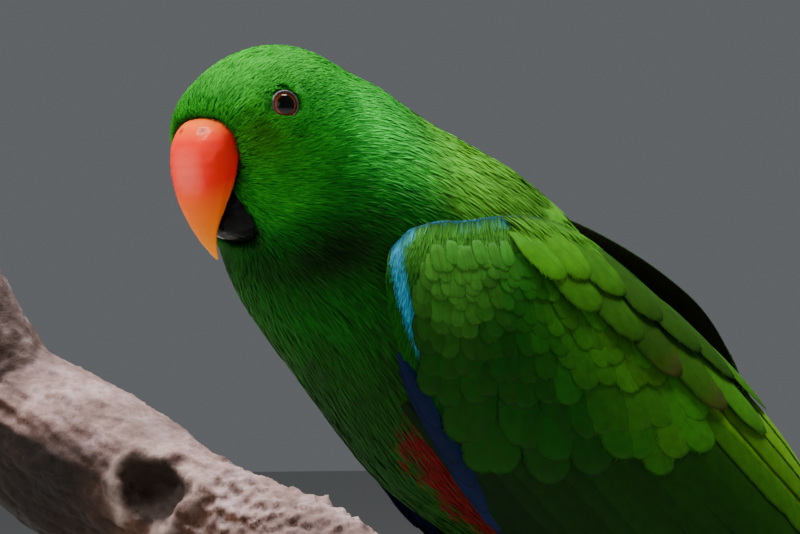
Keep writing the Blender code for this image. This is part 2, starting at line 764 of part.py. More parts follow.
def make_tail(parts, cutters, torso, mat):
    """Twelve tail feathers in a narrow fan, the middle pair on top, under and over coverts."""
    root, way, normal, length = tail_axes()

    def place(along, across, height):
        arch = -TAIL_ARCH * (across / TAIL_CORE_HALF) ** 2
        return root + way * along + SIDEWAYS * across + normal * (arch + height)

    tail = new_object("tail", tail_core(), parts, mat)
    blades = []
    full = length / MM
    pairs = TAIL_FEATHERS // 2
    for i in range(pairs):
        t = i / (pairs - 1)
        for side in (-1, 1):
            start = side * between(TAIL_INNER, TAIL_OUTER, t)[0]
            end = side * between(TAIL_INNER, TAIL_OUTER, t)[1]
            reach = full - TAIL_STEP * t * t
            lift = TAIL_LAYER * ((pairs - 1) / 2 - i)
            feather = (TAIL_START, start, reach, end, TAIL_WIDTH, lift)
            blades.append(vane(place, feather, -side * TAIL_ROLL, columns=2, rows=4))
    for face in (1, -1):

        def over_core(along, across, height):
            t = min(along / TAIL_CORE_LENGTH, 1.0)
            surface = TAIL_CORE_DEPTH / 2 * (1.0 - TAIL_CORE_TAPER * t)
            return place(along, across, face * (surface + height))

        for covert in TAIL_COVERTS:
            blades.append(vane(over_core, covert, 0.0, columns=2, rows=4))
    join_all(tail, "tail", blades)
    boolean(tail, "DIFFERENCE", inflated(torso, GAP, "rump_clearance", cutters))


def branch_frame():
    """Ways round the branch: over the top towards the bird's front, and up."""
    ahead = Vector((-1.0, 0.0, 0.0))
    ahead = (ahead - BRANCH_WAY * ahead.dot(BRANCH_WAY)).normalized()
    up = BRANCH_WAY.cross(ahead)
    if up.z < 0:
        up = -up
    return ahead, up


BRANCH_AHEAD, BRANCH_UP = branch_frame()


def on_branch(along, angle, height):
    """Point at a height over the bark, by the angle forward from the top."""
    way = BRANCH_UP * math.cos(angle) + BRANCH_AHEAD * math.sin(angle)
    return BRANCH_POINT + BRANCH_WAY * along + way * (BRANCH_RADIUS + height)


def bark_height(along, angle):
    """Swells and hollows of the branch, none near the feet."""
    away = smooth_step((abs(along) - BARE_BARK) / BARE_BARK)
    swell = 1.2 * math.sin(along / MM * 0.07 + 1.3) + 0.9 * math.sin(3 * angle + along / MM * 0.045)
    swell += 0.5 * math.sin(5 * angle - along / MM * 0.11)
    thicker = 14.0 * smooth_step((-along / MM - 90) / 90) * max(0.0, -math.cos(angle - 0.5))
    rim = KNOT_RIM * math.exp(-(((along - KNOT_ALONG) / (22 * MM)) ** 2) - ((angle - KNOT_ANGLE) / 0.8) ** 2)
    return (swell * away + thicker + rim) * MM


def make_perch(parts, cutters, mat):
    """Branch with two cut ends, a knot hole and the stub of a side branch."""
    rings = []
    for i in range(BRANCH_ROWS):
        along = BRANCH_FAR_END + (BRANCH_NEAR_END - BRANCH_FAR_END) * i / (BRANCH_ROWS - 1)
        ring = []
        for k in range(BRANCH_SIDES):
            angle = 2 * math.pi * k / BRANCH_SIDES
            ring.append(on_branch(along, angle, bark_height(along, angle)))
        rings.append(ring)
    perch = new_object("perch", loft(rings), parts, mat)
    start = BRANCH_POINT + BRANCH_WAY * STUB_ALONG
    way = (BRANCH_UP * math.cos(STUB_LEAN) - BRANCH_WAY * math.sin(STUB_LEAN)).normalized()
    path = [start + way * step * MM for step in STUB_STEPS]
    stub = tube(path, [radius * MM for radius in STUB_RADII], sides=14)
    join_all(perch, "perch", [stub])
    hole = ball(Vector((0, 0, 0)), 1.0, "knot_hole", cutters, 14)
    centre = on_branch(KNOT_ALONG, KNOT_ANGLE, bark_height(KNOT_ALONG, KNOT_ANGLE) + 2 * MM)
    out = (BRANCH_UP * math.cos(KNOT_ANGLE) + BRANCH_AHEAD * math.sin(KNOT_ANGLE)).normalized()
    axes = Matrix((BRANCH_WAY, out.cross(BRANCH_WAY), out)).transposed()
    scale = Matrix.Diagonal(Vector(KNOT_SIZE))
    hole.data.transform(Matrix.Translation(centre) @ (axes @ scale).to_4x4())
    boolean(perch, "DIFFERENCE", hole)
    return perch


def claw_path(along, start_angle, direction):
    """Claw curving down round the branch from a toe's tip."""
    points = []
    for i in range(len(CLAW_RADII)):
        t = i / (len(CLAW_RADII) - 1)
        angle = start_angle + direction * CLAW_LENGTH / (BRANCH_RADIUS + 3 * MM) * t
        lift = (TOE_RADIUS * 0.9 + 1.4 * MM * math.sin(math.pi * t * 0.75)) * (1 - t * 0.55) + GAP
        points.append(on_branch(along, angle, lift))
    return points


def toe_path(foot_along, spec):
    """Path of a toe from the palm round the branch, and where it ends."""
    direction, splay, reach = spec
    points = []
    for i in range(TOE_ROWS):
        t = i / (TOE_ROWS - 1)
        angle = direction * math.radians(reach) * t
        along = foot_along + splay * MM * smooth_step(t * 1.6)
        points.append(on_branch(along, angle, TOE_RADIUS * (1.22 - 0.22 * t) + GAP))
    return points


def make_foot(name, side, parts, mat, claw_mat):
    """Two toes ahead and two behind on the branch, each with its claw."""
    foot_along = -side * FOOT_SPACING
    pieces = []
    for spec in TOES:
        path = toe_path(foot_along, spec)
        radii = [TOE_RADIUS * (1.2 - 0.3 * i / TOE_ROWS) * (1.0 + 0.06 * (i % 2)) for i in range(TOE_ROWS)]
        pieces.append(tube(path, radii, sides=6, across=BRANCH_WAY))
    palm = on_branch(foot_along, 0.0, TOE_RADIUS * 1.5 + GAP)
    bm = bmesh.new()
    bmesh.ops.create_uvsphere(bm, u_segments=10, v_segments=6, radius=TOE_RADIUS * 1.5)
    bmesh.ops.translate(bm, verts=bm.verts, vec=palm)
    foot = new_object(name, bm, parts, mat)
    join_all(foot, name, pieces)
    for number, spec in enumerate(TOES, 1):
        direction, splay, reach = spec
        start = direction * (math.radians(reach) + (TOE_RADIUS * 0.12 + 0.4 * MM) / BRANCH_RADIUS)
        path = claw_path(foot_along + splay * MM, start, direction)
        claw = tube(path, CLAW_RADII, sides=6, across=BRANCH_WAY)
        new_object("claw_" + name.split("_")[1] + "_" + str(number), claw, parts, claw_mat)
    return foot


def make_leg(name, side, parts, cutters, torso, foot, mat):
    """Feathered thigh and bare shank from the belly to the foot."""
    ankle = on_branch(-side * FOOT_SPACING, 0.0, TOE_RADIUS * 2.4)
    along, up, aside = HIPS[side]
    hip = body_point(along, up, aside * side)
    way = ankle - hip
    path = [hip + way * t for t in (0.0, 0.22, 0.42, 0.58, 0.66, 0.84, 1.0)]
    radii = [THIGH_RADIUS, THIGH_RADIUS, THIGH_RADIUS * 0.8, THIGH_RADIUS * 0.55]
    radii += [TARSUS_RADIUS * 1.05, TARSUS_RADIUS, TARSUS_RADIUS * 1.15]
    leg = new_object(name, tube(path, radii, sides=10), parts, mat)
    hip_cut = inflated(torso, GAP, name + "_hip_clearance", cutters)
    ankle_cut = inflated(foot, GAP, name + "_ankle_clearance", cutters)
    boolean(leg, "DIFFERENCE", hip_cut, solver="MANIFOLD")
    boolean(leg, "DIFFERENCE", ankle_cut, solver="MANIFOLD")
    return leg


def make_stand(parts, cutters, perch, base_mat, rod_mat):
    """Round base with a chamfered rim and one rod up to the branch."""
    low_rim = BASE_HEIGHT - BASE_RIM
    profile = [(BASE_RADIUS - BASE_RIM, BASE_HEIGHT), (BASE_RADIUS, low_rim), (BASE_RADIUS, 0.0)]
    rings = []
    for radius, height in profile:
        ring = []
        for k in range(BASE_SIDES):
            angle = 2 * math.pi * k / BASE_SIDES
            ring.append(Vector((radius * math.cos(angle), radius * math.sin(angle), height)))
        rings.append(ring)
    new_object("stand_base", loft(rings), parts, base_mat)
    foot = BRANCH_POINT + BRANCH_WAY * ROD_OFFSET
    bm = bmesh.new()
    height = foot.z - BASE_HEIGHT - GAP
    size = {"radius1": ROD_RADIUS, "radius2": ROD_RADIUS, "depth": height}
    bmesh.ops.create_cone(bm, cap_ends=True, segments=20, **size)
    bmesh.ops.translate(bm, verts=bm.verts, vec=(foot.x, foot.y, BASE_HEIGHT + GAP + height / 2))
    rod = new_object("stand_rod", bm, parts, rod_mat)
    boolean(rod, "DIFFERENCE", inflated(perch, GAP, "perch_clearance", cutters))


def main():
    for old in list(bpy.data.objects):
        bpy.data.objects.remove(old)
    scene = bpy.context.scene
    parts = bpy.data.collections.new("eclectus_parrot")
    cutters = bpy.data.collections.new("cutters")
    scene.collection.children.link(parts)
    scene.collection.children.link(cutters)

    green = material("green_feather", (0.03, 0.28, 0.03), 0.6)
    coral = material("coral_bill", (0.85, 0.16, 0.06), 0.25)
    black = material("black_horn", (0.02, 0.02, 0.02), 0.3)
    grey = material("grey_scale_skin", (0.12, 0.12, 0.12), 0.6)
    amber = material("eye", (0.10, 0.03, 0.01), 0.1)
    bark = material("bark", (0.30, 0.18, 0.15), 0.9)
    dark = material("stand_wood", (0.06, 0.05, 0.045), 0.4)
    steel = material("stand_steel", (0.5, 0.5, 0.5), 0.3, 1.0)

    head = make_head(parts, green)
    make_eyes(parts, cutters, head, amber)
    make_bills(parts, cutters, head, coral, black)
    new_object("neck", loft(body_rings(HEAD_CUT + GAP, NECK_CUT, 6)), parts, green)
    torso = new_object("torso", loft(body_rings(NECK_CUT + GAP, RUMP_CUT, 16)), parts, green)
    for side, name, lift in ((-1, "wing_left", 0.0), (1, "wing_right", FAR_WING_LIFT)):
        make_wing(name, side, lift, parts, green)
    make_tail(parts, cutters, torso, green)
    perch = make_perch(parts, cutters, bark)
    for side, label in ((-1, "left"), (1, "right")):
        foot = make_foot("foot_" + label, side, parts, grey, black)
        make_leg("leg_" + label, side, parts, cutters, torso, foot, green)
    make_stand(parts, cutters, perch, dark, steel)
    for made in parts.objects:
        made.data.shade_smooth()
        made.data.set_sharp_from_angle(angle=math.radians(40))


main()
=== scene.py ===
"""Dressed look of the eclectus parrot display model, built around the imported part.

All geometry is worked out in millimetres and turned into metres when a mesh is made.
"""

import math

import bmesh
import bpy
import numpy as np
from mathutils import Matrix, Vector, noise
from mathutils.bvhtree import BVHTree
from mathutils.kdtree import KDTree


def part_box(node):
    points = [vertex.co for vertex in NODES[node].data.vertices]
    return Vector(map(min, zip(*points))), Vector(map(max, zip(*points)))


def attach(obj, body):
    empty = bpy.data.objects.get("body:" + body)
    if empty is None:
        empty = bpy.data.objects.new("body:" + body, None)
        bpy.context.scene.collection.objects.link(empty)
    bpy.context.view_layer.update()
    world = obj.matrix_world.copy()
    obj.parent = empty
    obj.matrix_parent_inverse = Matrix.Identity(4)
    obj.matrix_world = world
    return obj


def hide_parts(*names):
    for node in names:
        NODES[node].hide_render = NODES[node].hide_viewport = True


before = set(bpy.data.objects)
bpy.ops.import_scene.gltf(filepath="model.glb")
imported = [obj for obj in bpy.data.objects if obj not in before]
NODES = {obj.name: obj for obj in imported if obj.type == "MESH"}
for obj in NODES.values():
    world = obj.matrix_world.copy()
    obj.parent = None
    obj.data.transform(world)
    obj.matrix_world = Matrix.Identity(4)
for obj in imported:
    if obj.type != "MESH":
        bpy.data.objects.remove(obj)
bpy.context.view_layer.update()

MM = 0.001
UP = np.array((0.0, 0.0, 1.0))
SIDE = np.array((0.0, 1.0, 0.0))

# Places and ways shared with the solids
SHOULDER = np.array((-39.8, 0.0, 224.9))
BACKWARD = np.array((1.0, 0.0, -1.0)) / math.sqrt(2.0)
DORSAL = np.array((1.0, 0.0, 1.0)) / math.sqrt(2.0)
HEAD_CENTRE = np.array((-79.9, -4.0, 259.7))
HEAD_YAW = math.radians(24.0)
HEAD_PITCH = math.radians(20.0)
HEAD_RADII = np.array((32.0, 24.5, 29.0))
EYE_FORWARD = 7.9
EYE_UP = 15.8
EYE_RADIUS = 5.0
LID_RADIUS = 4.5
LID_THICKNESS = 0.65
EYE_OPENING = 3.5
EYE_RING_WIDTH = 0.34
EYE_LOOK_FORWARD = math.radians(15.0)
EYE_COLOURS = (
    (0.0, (0.001, 0.001, 0.001)), (0.66, (0.001, 0.001, 0.001)), (0.71, (0.060, 0.012, 0.004)),
    (0.79, (0.42, 0.075, 0.012)), (0.90, (0.34, 0.070, 0.020)), (0.97, (0.03, 0.012, 0.008)),
)
# Stations of the body: along, height above its axis, depth below it, half width
BODY_STATIONS = (
    (-60, 22, 20, 17), (-44, 31, 30, 25), (-31, 33.5, 36.5, 30), (-16, 37.5, 39.5, 34),
    (0, 42.5, 41, 37), (20, 45, 43.5, 39), (40, 43.5, 45, 38.5), (64, 40, 41, 36),
    (90, 34, 33, 31), (120, 25, 22, 23), (147, 18, 4, 14),
)
RUMP = 146.0
# Stations of a folded wing: along, lower edge, upper edge in degrees, radius, half span, thickness
WING_STATIONS = (
    (-15.5, -7, 2, 48, 37.3, 3), (-12, -13, 10, 48, 39.5, 5.5), (-6, -19, 18, 48, 41.3, 7),
    (0, -22.5, 28, 48.5, 42.5, 8), (12, -28, 44, 49, 44, 8), (35, -33, 62, 50, 44, 8),
    (65, -36, 75, 51, 42.5, 7), (95, -36, 80, 49.5, 39, 5.5), (122, -34, 76, 45, 34.5, 4),
    (142, -29, 58, 38.5, 30.5, 2.6), (152, -23, 20, 36, 28.5, 1.6),
)
WING_START = WING_STATIONS[0][0]
WING_END = WING_STATIONS[-1][0]
VENTRAL_RADIUS = 60.0
DORSAL_RADIUS = 48.0
TIP_NARROWING = 0.07
FAR_WING_LIFT = 13.0
TAIL_ROOT = (142.0, 9.0)
TAIL_TIP = (273.0, -22.0)
# Rows of tail coverts: start, length, count
TAIL_COVERT_ROWS = ((-16, 30, 5), (-8, 36, 5), (0, 42, 5), (8, 48, 4), (15, 54, 3))
BRANCH_POINT = np.array((3.0, 0.0, 100.3))
BRANCH_WAY = np.array((0.526, -0.752, -0.399))
BRANCH_WAY = BRANCH_WAY / np.linalg.norm(BRANCH_WAY)
BRANCH_RADIUS = 20.0
KNOT_ALONG = -138.0
KNOT_ANGLE = math.radians(58.0)
STUB_ALONG = -205.0
STUB_LEAN = math.radians(44.0)
STUB_LENGTH = 66.0
BASE_RADIUS = 88.0
BASE_HEIGHT = 12.0
BASE_ROUNDING = 3.0
COLLAR = (
    (5.2, 0.2), (9.0, 0.2), (9.4, 0.8), (9.4, 2.6), (8.8, 3.4), (5.6, 3.6), (5.2, 3.4), (5.2, 0.2),
)

# Bill: ridge (forward, up), edge (forward, up) and half width, from its root to its tip
UPPER_BILL = (
    (15.0, 13.5, 12.0, 3.0, 9.9), (22.6, 17.0, 16.2, 4.0, 11.3), (29.0, 13.6, 19.8, 2.6, 11.2),
    (32.6, 6.5, 21.6, 0.0, 10.7), (33.8, -1.5, 23.8, -2.8, 9.7), (33.8, -8.5, 26.8, -7.0, 7.5),
    (32.8, -15.0, 30.0, -12.5, 4.4), (31.6, -19.0, 30.6, -17.2, 2.4), (30.2, -22.4, 30.0, -21.6, 0.6),
)
LOWER_BILL = (
    (12.0, 3.0, 10.0, -17.0, 9.6), (17.5, 2.6, 14.5, -19.8, 11.2), (21.8, -1.0, 19.4, -20.4, 10.4),
    (25.6, -6.0, 24.0, -18.6, 7.4), (28.2, -10.8, 27.6, -15.2, 3.8),
)
BILL_COLOURS = (
    (0.0, (0.90, 0.29, 0.003)), (0.22, (0.84, 0.18, 0.002)), (0.44, (0.84, 0.10, 0.002)),
    (0.58, (0.88, 0.014, 0.006)), (0.86, (0.90, 0.024, 0.012)), (0.97, (0.85, 0.14, 0.010)),
)
NOSTRIL_AHEAD = 50.0
NOSTRIL_ASIDE = 4.4
NOSTRIL_UP = 38.0

# Colour stops of lit bark and of bark in painted shade, stained wood and cut wood
LIT_BARK = ((0.25, (0.09, 0.050, 0.042)), (0.50, (0.30, 0.19, 0.18)), (0.75, (0.50, 0.39, 0.41)))
SHADED_BARK = ((0.25, (0.014, 0.006, 0.004)), (0.55, (0.075, 0.028, 0.014)), (0.80, (0.15, 0.070, 0.042)))
STAINED_WOOD = ((0.25, (0.020, 0.013, 0.010)), (0.55, (0.055, 0.034, 0.024)), (0.8, (0.095, 0.060, 0.040)))
HEART_WOOD = ((0.2, (0.36, 0.24, 0.15)), (0.8, (0.58, 0.43, 0.29)))

# Coat. Densities are tufts to a square millimetre.
SKIN_VOXEL = 1.1 * MM
COAT_DEPTH = 1.1
COAT_PIECE_LIMIT = 36000
BAKE_PATCH = 0.003
TUFT_ROWS = 4
VANE_COLUMNS = 7
HEAD_DENSITY = 8.2
BODY_DENSITY = 3.4
EYE_EXTRA_DENSITY = 9.0
HIDDEN_DENSITY = 0.15
BEND_DENSITY = 8.5
SHOULDER_DENSITY = 4.5
THIGH_DENSITY = 7.0
# Tuft lengths: along the body, length
TUFT_LENGTHS = ((-80, 3.6), (-60, 4.6), (-40, 7.0), (-15, 10.0), (10, 12.0), (60, 13.0), (146, 14.0))

# Mantle, floor, lights and camera. A light is name, place, target, size, power and colour.
MANTLE_ROWS = 15
MANTLE_START = 10.0
MANTLE_STEP = 8.2
FLOOR_HALF = 6.0
LIGHTS = (
    ("key", (-0.85, 0.15, 1.25), (-0.03, 0.0, 0.20), 0.5, 32.0, (1.0, 0.98, 0.94)),
    ("top", (0.30, 0.05, 1.50), (0.0, 0.0, 0.20), 0.8, 34.0, (1.0, 1.0, 0.97)),
    ("fill", (-1.1, -1.5, 0.7), (-0.03, 0.0, 0.20), 1.2, 3.5, (0.95, 0.98, 1.0)),
)
SKY_COLOUR = (0.75, 0.80, 0.85, 1.0)
SKY_STRENGTH = 0.16
CAMERA_TARGET = (-0.0395, 0.0, 0.2263)
CAMERA_AZIMUTH = math.radians(-20.0)
CAMERA_DISTANCE = 2.2
FRAME_WIDTH = 0.22857
SENSOR_WIDTH = 36.0


def unit(vectors):
    return vectors / np.maximum(np.linalg.norm(vectors, axis=-1, keepdims=True), 1e-9)


def smooth(values):
    values = np.clip(values, 0.0, 1.0)
    return values * values * (3.0 - 2.0 * values)


def mix(a, b, share):
    return a + (b - a) * share


def head_axes():
    level = np.array((-math.cos(HEAD_YAW), -math.sin(HEAD_YAW), 0.0))
    forward = level * math.cos(HEAD_PITCH) - UP * math.sin(HEAD_PITCH)
    crown = level * math.sin(HEAD_PITCH) + UP * math.cos(HEAD_PITCH)
    return forward, np.cross(crown, forward), crown


FORWARD, LEFT, CROWN = head_axes()


def head_point(forward, left, up):
    return HEAD_CENTRE + FORWARD * forward + LEFT * left + CROWN * up


def in_head(points):
    """Forward, left and up of points in the head's own axes."""
    local = points - HEAD_CENTRE
    return local @ FORWARD, local @ LEFT, local @ CROWN


def body_point(along, up, side):
    along, up, side = (np.asarray(v, float)[..., None] for v in (along, up, side))
    return SHOULDER + BACKWARD * along + DORSAL * up + SIDE * side


def in_body(points):
    """Along, up and sideways of points in the body's own axes."""
    local = points - SHOULDER
    return local @ BACKWARD, local @ DORSAL, local @ SIDE


def on_wing(points):
    """Along and turn of points in a folded wing's own measures."""
    along, up, side = in_body(points)
    return along, np.arctan2(up, np.abs(side))


def from_axis(points):
    """Ways from the body's axis to points."""
    return unit(points - body_point(in_body(points)[0], 0.0, 0.0))


def read_table(rows, place):
    """Smooth reading of a table at many places."""
    rows = np.asarray(rows, float)
    place = np.clip(np.asarray(place, float), rows[0, 0], rows[-1, 0])
    i = np.clip(np.searchsorted(rows[:, 0], place, side="right") - 1, 0, len(rows) - 2)
    a, b = rows[i], rows[i + 1]
    before = rows[np.maximum(i - 1, 0)]
    after = rows[np.minimum(i + 2, len(rows) - 1)]
    step = b[..., :1] - a[..., :1]
    t = (place[..., None] - a[..., :1]) / step
    slope_a = (b[..., 1:] - before[..., 1:]) / (b[..., :1] - before[..., :1]) * step
    slope_b = (after[..., 1:] - a[..., 1:]) / (after[..., :1] - a[..., :1]) * step
    h00 = 2 * t**3 - 3 * t**2 + 1
    h10 = t**3 - 2 * t**2 + t
    return h00 * a[..., 1:] + h10 * slope_a + (1 - h00) * b[..., 1:] + (t**3 - t**2) * slope_b


def body_radius(along, angle):
    rows = read_table(BODY_STATIONS, along)
    depth = np.where(np.sin(angle) > 0, rows[..., 0], rows[..., 1])
    return 1.0 / np.sqrt((np.cos(angle) / rows[..., 2]) ** 2 + (np.sin(angle) / depth) ** 2)


def wing_section(along, turn, lift):
    """Height and half span on a folded wing's surface."""
    rows = read_table(WING_STATIONS, along)
    past = np.maximum(0.0, along - WING_END)
    radius = np.where(turn < 0, VENTRAL_RADIUS, rows[..., 2] - past * TIP_NARROWING)
    raised = lift * smooth(turn / 1.1) * smooth(along / 30.0)
    raised = raised * (1.0 - smooth((along - 70.0) / 60.0))
    span = rows[..., 3] - past * TIP_NARROWING
    return (radius + raised) * np.sin(turn), span * np.cos(turn)


def wing_point(along, across, height, side, lift, clear=1.2):
    """Points over a folded wing's surface, across measured round it from its widest line."""
    along, across, height = np.broadcast_arrays(*(np.asarray(v, float) for v in (along, across, height)))
    radius = np.where(across > 0, read_table(WING_STATIONS, along)[..., 2], VENTRAL_RADIUS)
    turn = across / radius
    up, out = wing_section(along, turn, lift)
    reach = np.hypot(up, out)
    floor = body_radius(np.minimum(along, RUMP), np.arctan2(up, out)) + clear
    grow = np.where((along < RUMP) & (reach < floor), floor / reach, 1.0)
    up, out = up * grow, out * grow
    return body_point(along, up + np.sin(turn) * height, side * (out + np.cos(turn) * height))


def wing_edges(along):
    """Turn of a folded wing's lower and upper edge."""
    rows = read_table(WING_STATIONS, along)
    return -np.arcsin(-rows[..., 0] / VENTRAL_RADIUS), np.radians(rows[..., 1])


def make_mesh(name, verts, faces, material, bake=None, attributes=None):
    """Object from points in millimetres, riding on the root body."""
    verts = np.asarray(verts, np.float64).reshape(-1, 3) * MM
    faces = np.asarray(faces, np.int32)
    mesh = bpy.data.meshes.new(name)
    mesh.vertices.add(len(verts))
    mesh.vertices.foreach_set("co", verts.astype(np.float32).ravel())
    sides = faces.shape[1]
    mesh.loops.add(faces.size)
    mesh.loops.foreach_set("vertex_index", faces.ravel())
    mesh.polygons.add(len(faces))
    mesh.polygons.foreach_set("loop_start", np.arange(0, faces.size, sides, dtype=np.int32))
    mesh.update(calc_edges=True)
    for key, values in (attributes or {}).items():
        values = np.asarray(values, np.float32)
        if values.ndim == 2:
            layer = mesh.attributes.new(key, "FLOAT_COLOR", "POINT")
            rgba = np.ones((len(values), 4), np.float32)
            rgba[:, :3] = values
            layer.data.foreach_set("color", rgba.ravel())
        else:
            layer = mesh.attributes.new(key, "FLOAT", "POINT")
            layer.data.foreach_set("value", values)
    if bake is not None:
        layer = mesh.uv_layers.new(name="OFBake")
        corner = np.asarray(bake, np.float32)[faces.ravel()]
        layer.uv.foreach_set("vector", corner.ravel())
    mesh.shade_smooth()
    made = bpy.data.objects.new(name, mesh)
    bpy.context.scene.collection.objects.link(made)
    mesh.materials.append(material)
    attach(made, "root")
    return made


def grid_faces(rows, columns, wrap=False):
    """Quads of a grid of points stored row by row."""
    i = np.arange(rows - 1)[:, None]
    j = np.arange(columns if wrap else columns - 1)[None, :]
    k = (j + 1) % columns
    corners = (i * columns + j, i * columns + k, (i + 1) * columns + k, (i + 1) * columns + j)
    return np.stack(np.broadcast_arrays(*corners), -1).reshape(-1, 4)


def mesh_arrays(data):
    """Points in millimetres, outward normals and triangles of a mesh."""
    points = np.empty(len(data.vertices) * 3)
    data.vertices.foreach_get("co", points)
    normals = np.empty(len(data.vertices) * 3)
    data.vertices.foreach_get("normal", normals)
    data.calc_loop_triangles()
    triangles = np.empty(len(data.loop_triangles) * 3, np.int32)
    data.loop_triangles.foreach_get("vertices", triangles)
    return points.reshape(-1, 3) / MM, normals.reshape(-1, 3), triangles.reshape(-1, 3)


def remeshed(names, voxel, rounds):
    """Mesh of one smooth skin over copies of some nodes."""
    bm = bmesh.new()
    for name in names:
        bm.from_mesh(NODES[name].data)
    data = bpy.data.meshes.new("work")
    bm.to_mesh(data)
    bm.free()
    work = bpy.data.objects.new("work", data)
    bpy.context.scene.collection.objects.link(work)
    step = work.modifiers.new("Remesh", "REMESH")
    step.mode = "VOXEL"
    step.voxel_size = voxel
    soften = work.modifiers.new("Smooth", "SMOOTH")
    soften.factor = 0.5
    soften.iterations = rounds
    bpy.context.view_layer.update()
    result = bpy.data.meshes.new_from_object(work.evaluated_get(bpy.context.evaluated_depsgraph_get()))
    bpy.data.objects.remove(work)
    return result


def noise_at(points, scale, seed=0.0, depth=2):
    """Soft noise from about -1 to 1 at points in millimetres."""
    out = np.empty(len(points))
    for i, p in enumerate(points):
        place = Vector((p[0] * scale + seed, p[1] * scale, p[2] * scale))
        out[i] = noise.fractal(place, 0.6, 2.0, depth)
    return out


class Shader:
    """Short way to write a node material."""

    def __init__(self, name):
        self.material = bpy.data.materials.new(name)
        self.material.use_nodes = True
        self.tree = self.material.node_tree
        self.surface = self.tree.nodes["Principled BSDF"]

    def feed(self, socket, value):
        """Link a socket or set its value. None leaves it as it is."""
        if isinstance(value, bpy.types.NodeSocket):
            self.tree.links.new(value, socket)
        elif value is not None:
            socket.default_value = value

    def set(self, **values):
        for key, value in values.items():
            self.feed(self.surface.inputs[key.replace("_", " ")], value)

    def node(self, kind, inputs, output=0, **settings):
        """Output of a new node. Its inputs are sockets or values by name or number."""
        made = self.tree.nodes.new(kind)
        for key, value in settings.items():
            setattr(made, key, value)
        for key, value in inputs.items():
            self.feed(made.inputs[key], value)
        return made.outputs[output]

    def maths(self, operation, a, b=0.0, c=0.0):
        return self.node("ShaderNodeMath", {0: a, 1: b, 2: c}, operation=operation)

    def read(self, name, colour=False):
        return self.node("ShaderNodeAttribute", {}, "Color" if colour else "Fac", attribute_name=name)

    def place(self):
        return self.node("ShaderNodeNewGeometry", {})

    def noise(self, scale, detail=3.0, vector=None, rough=0.5):
        inputs = {"Vector": vector or self.place(), "Scale": scale, "Detail": detail, "Roughness": rough}
        return self.node("ShaderNodeTexNoise", inputs, "Fac")

    def stretch(self, scale):
        return self.node("ShaderNodeMapping", {"Vector": self.place(), "Scale": scale})

    def ramp(self, value, stops):
        made = self.tree.nodes.new("ShaderNodeValToRGB")
        self.tree.links.new(value, made.inputs[0])
        bar = made.color_ramp
        while len(bar.elements) < len(stops):
            bar.elements.new(0.5)
        for element, (place, colour) in zip(bar.elements, stops):
            element.position = place
            grey = isinstance(colour, (int, float))
            element.color = (colour, colour, colour, 1.0) if grey else (*colour, 1.0)
        return made.outputs[0]

    def blend(self, share, a, b, mode="MIX"):
        a, b = ((*v, 1.0) if isinstance(v, tuple) else v for v in (a, b))
        return self.node("ShaderNodeMix", {0: share, 6: a, 7: b}, 2, data_type="RGBA", blend_type=mode)

    def bump(self, height, strength, distance):
        inputs = {"Height": height, "Strength": strength, "Distance": distance}
        self.set(Normal=self.node("ShaderNodeBump", inputs))


# Colours, as light reflected; some also hold painted light and shade, as noted
EMERALD = np.array((0.012, 0.235, 0.008))
# Painted highlight: lit green for the top of the head, where the light from above falls
LIT_CROWN_GREEN = np.array((0.034, 0.340, 0.020))
LORE_GREEN = np.array((0.026, 0.190, 0.004))
TEAL_GREEN = np.array((0.036, 0.500, 0.048))
# NECK_GREEN, BREAST_GREEN and BELLY_GREEN are the bird's own deeper green, darkened further as painted
# shade of the lower side
NECK_GREEN = np.array((0.005, 0.080, 0.002))
BREAST_GREEN = np.array((0.004, 0.043, 0.0015))
BACK_GREEN = np.array((0.075, 0.290, 0.014))
BELLY_GREEN = np.array((0.005, 0.040, 0.0015))
FLANK_RED = np.array((0.085, 0.0025, 0.002))
YELLOW_TIP = np.array((0.360, 0.240, 0.020))
COVERT_GREEN = np.array((0.010, 0.120, 0.003))
LESSER_GREEN = np.array((0.052, 0.235, 0.022))
OLIVE = np.array((0.028, 0.105, 0.003))
SCAPULAR_GREEN = np.array((0.045, 0.190, 0.006))
TERTIAL_GREEN = np.array((0.110, 0.290, 0.006))
TIP_BROWN = np.array((0.045, 0.036, 0.008))
BEND_BLUE = np.array((0.030, 0.330, 0.560))
DEEP_BLUE = np.array((0.006, 0.045, 0.230))
NAVY = np.array((0.003, 0.008, 0.030))
INNER_BROWN = np.array((0.012, 0.010, 0.004))


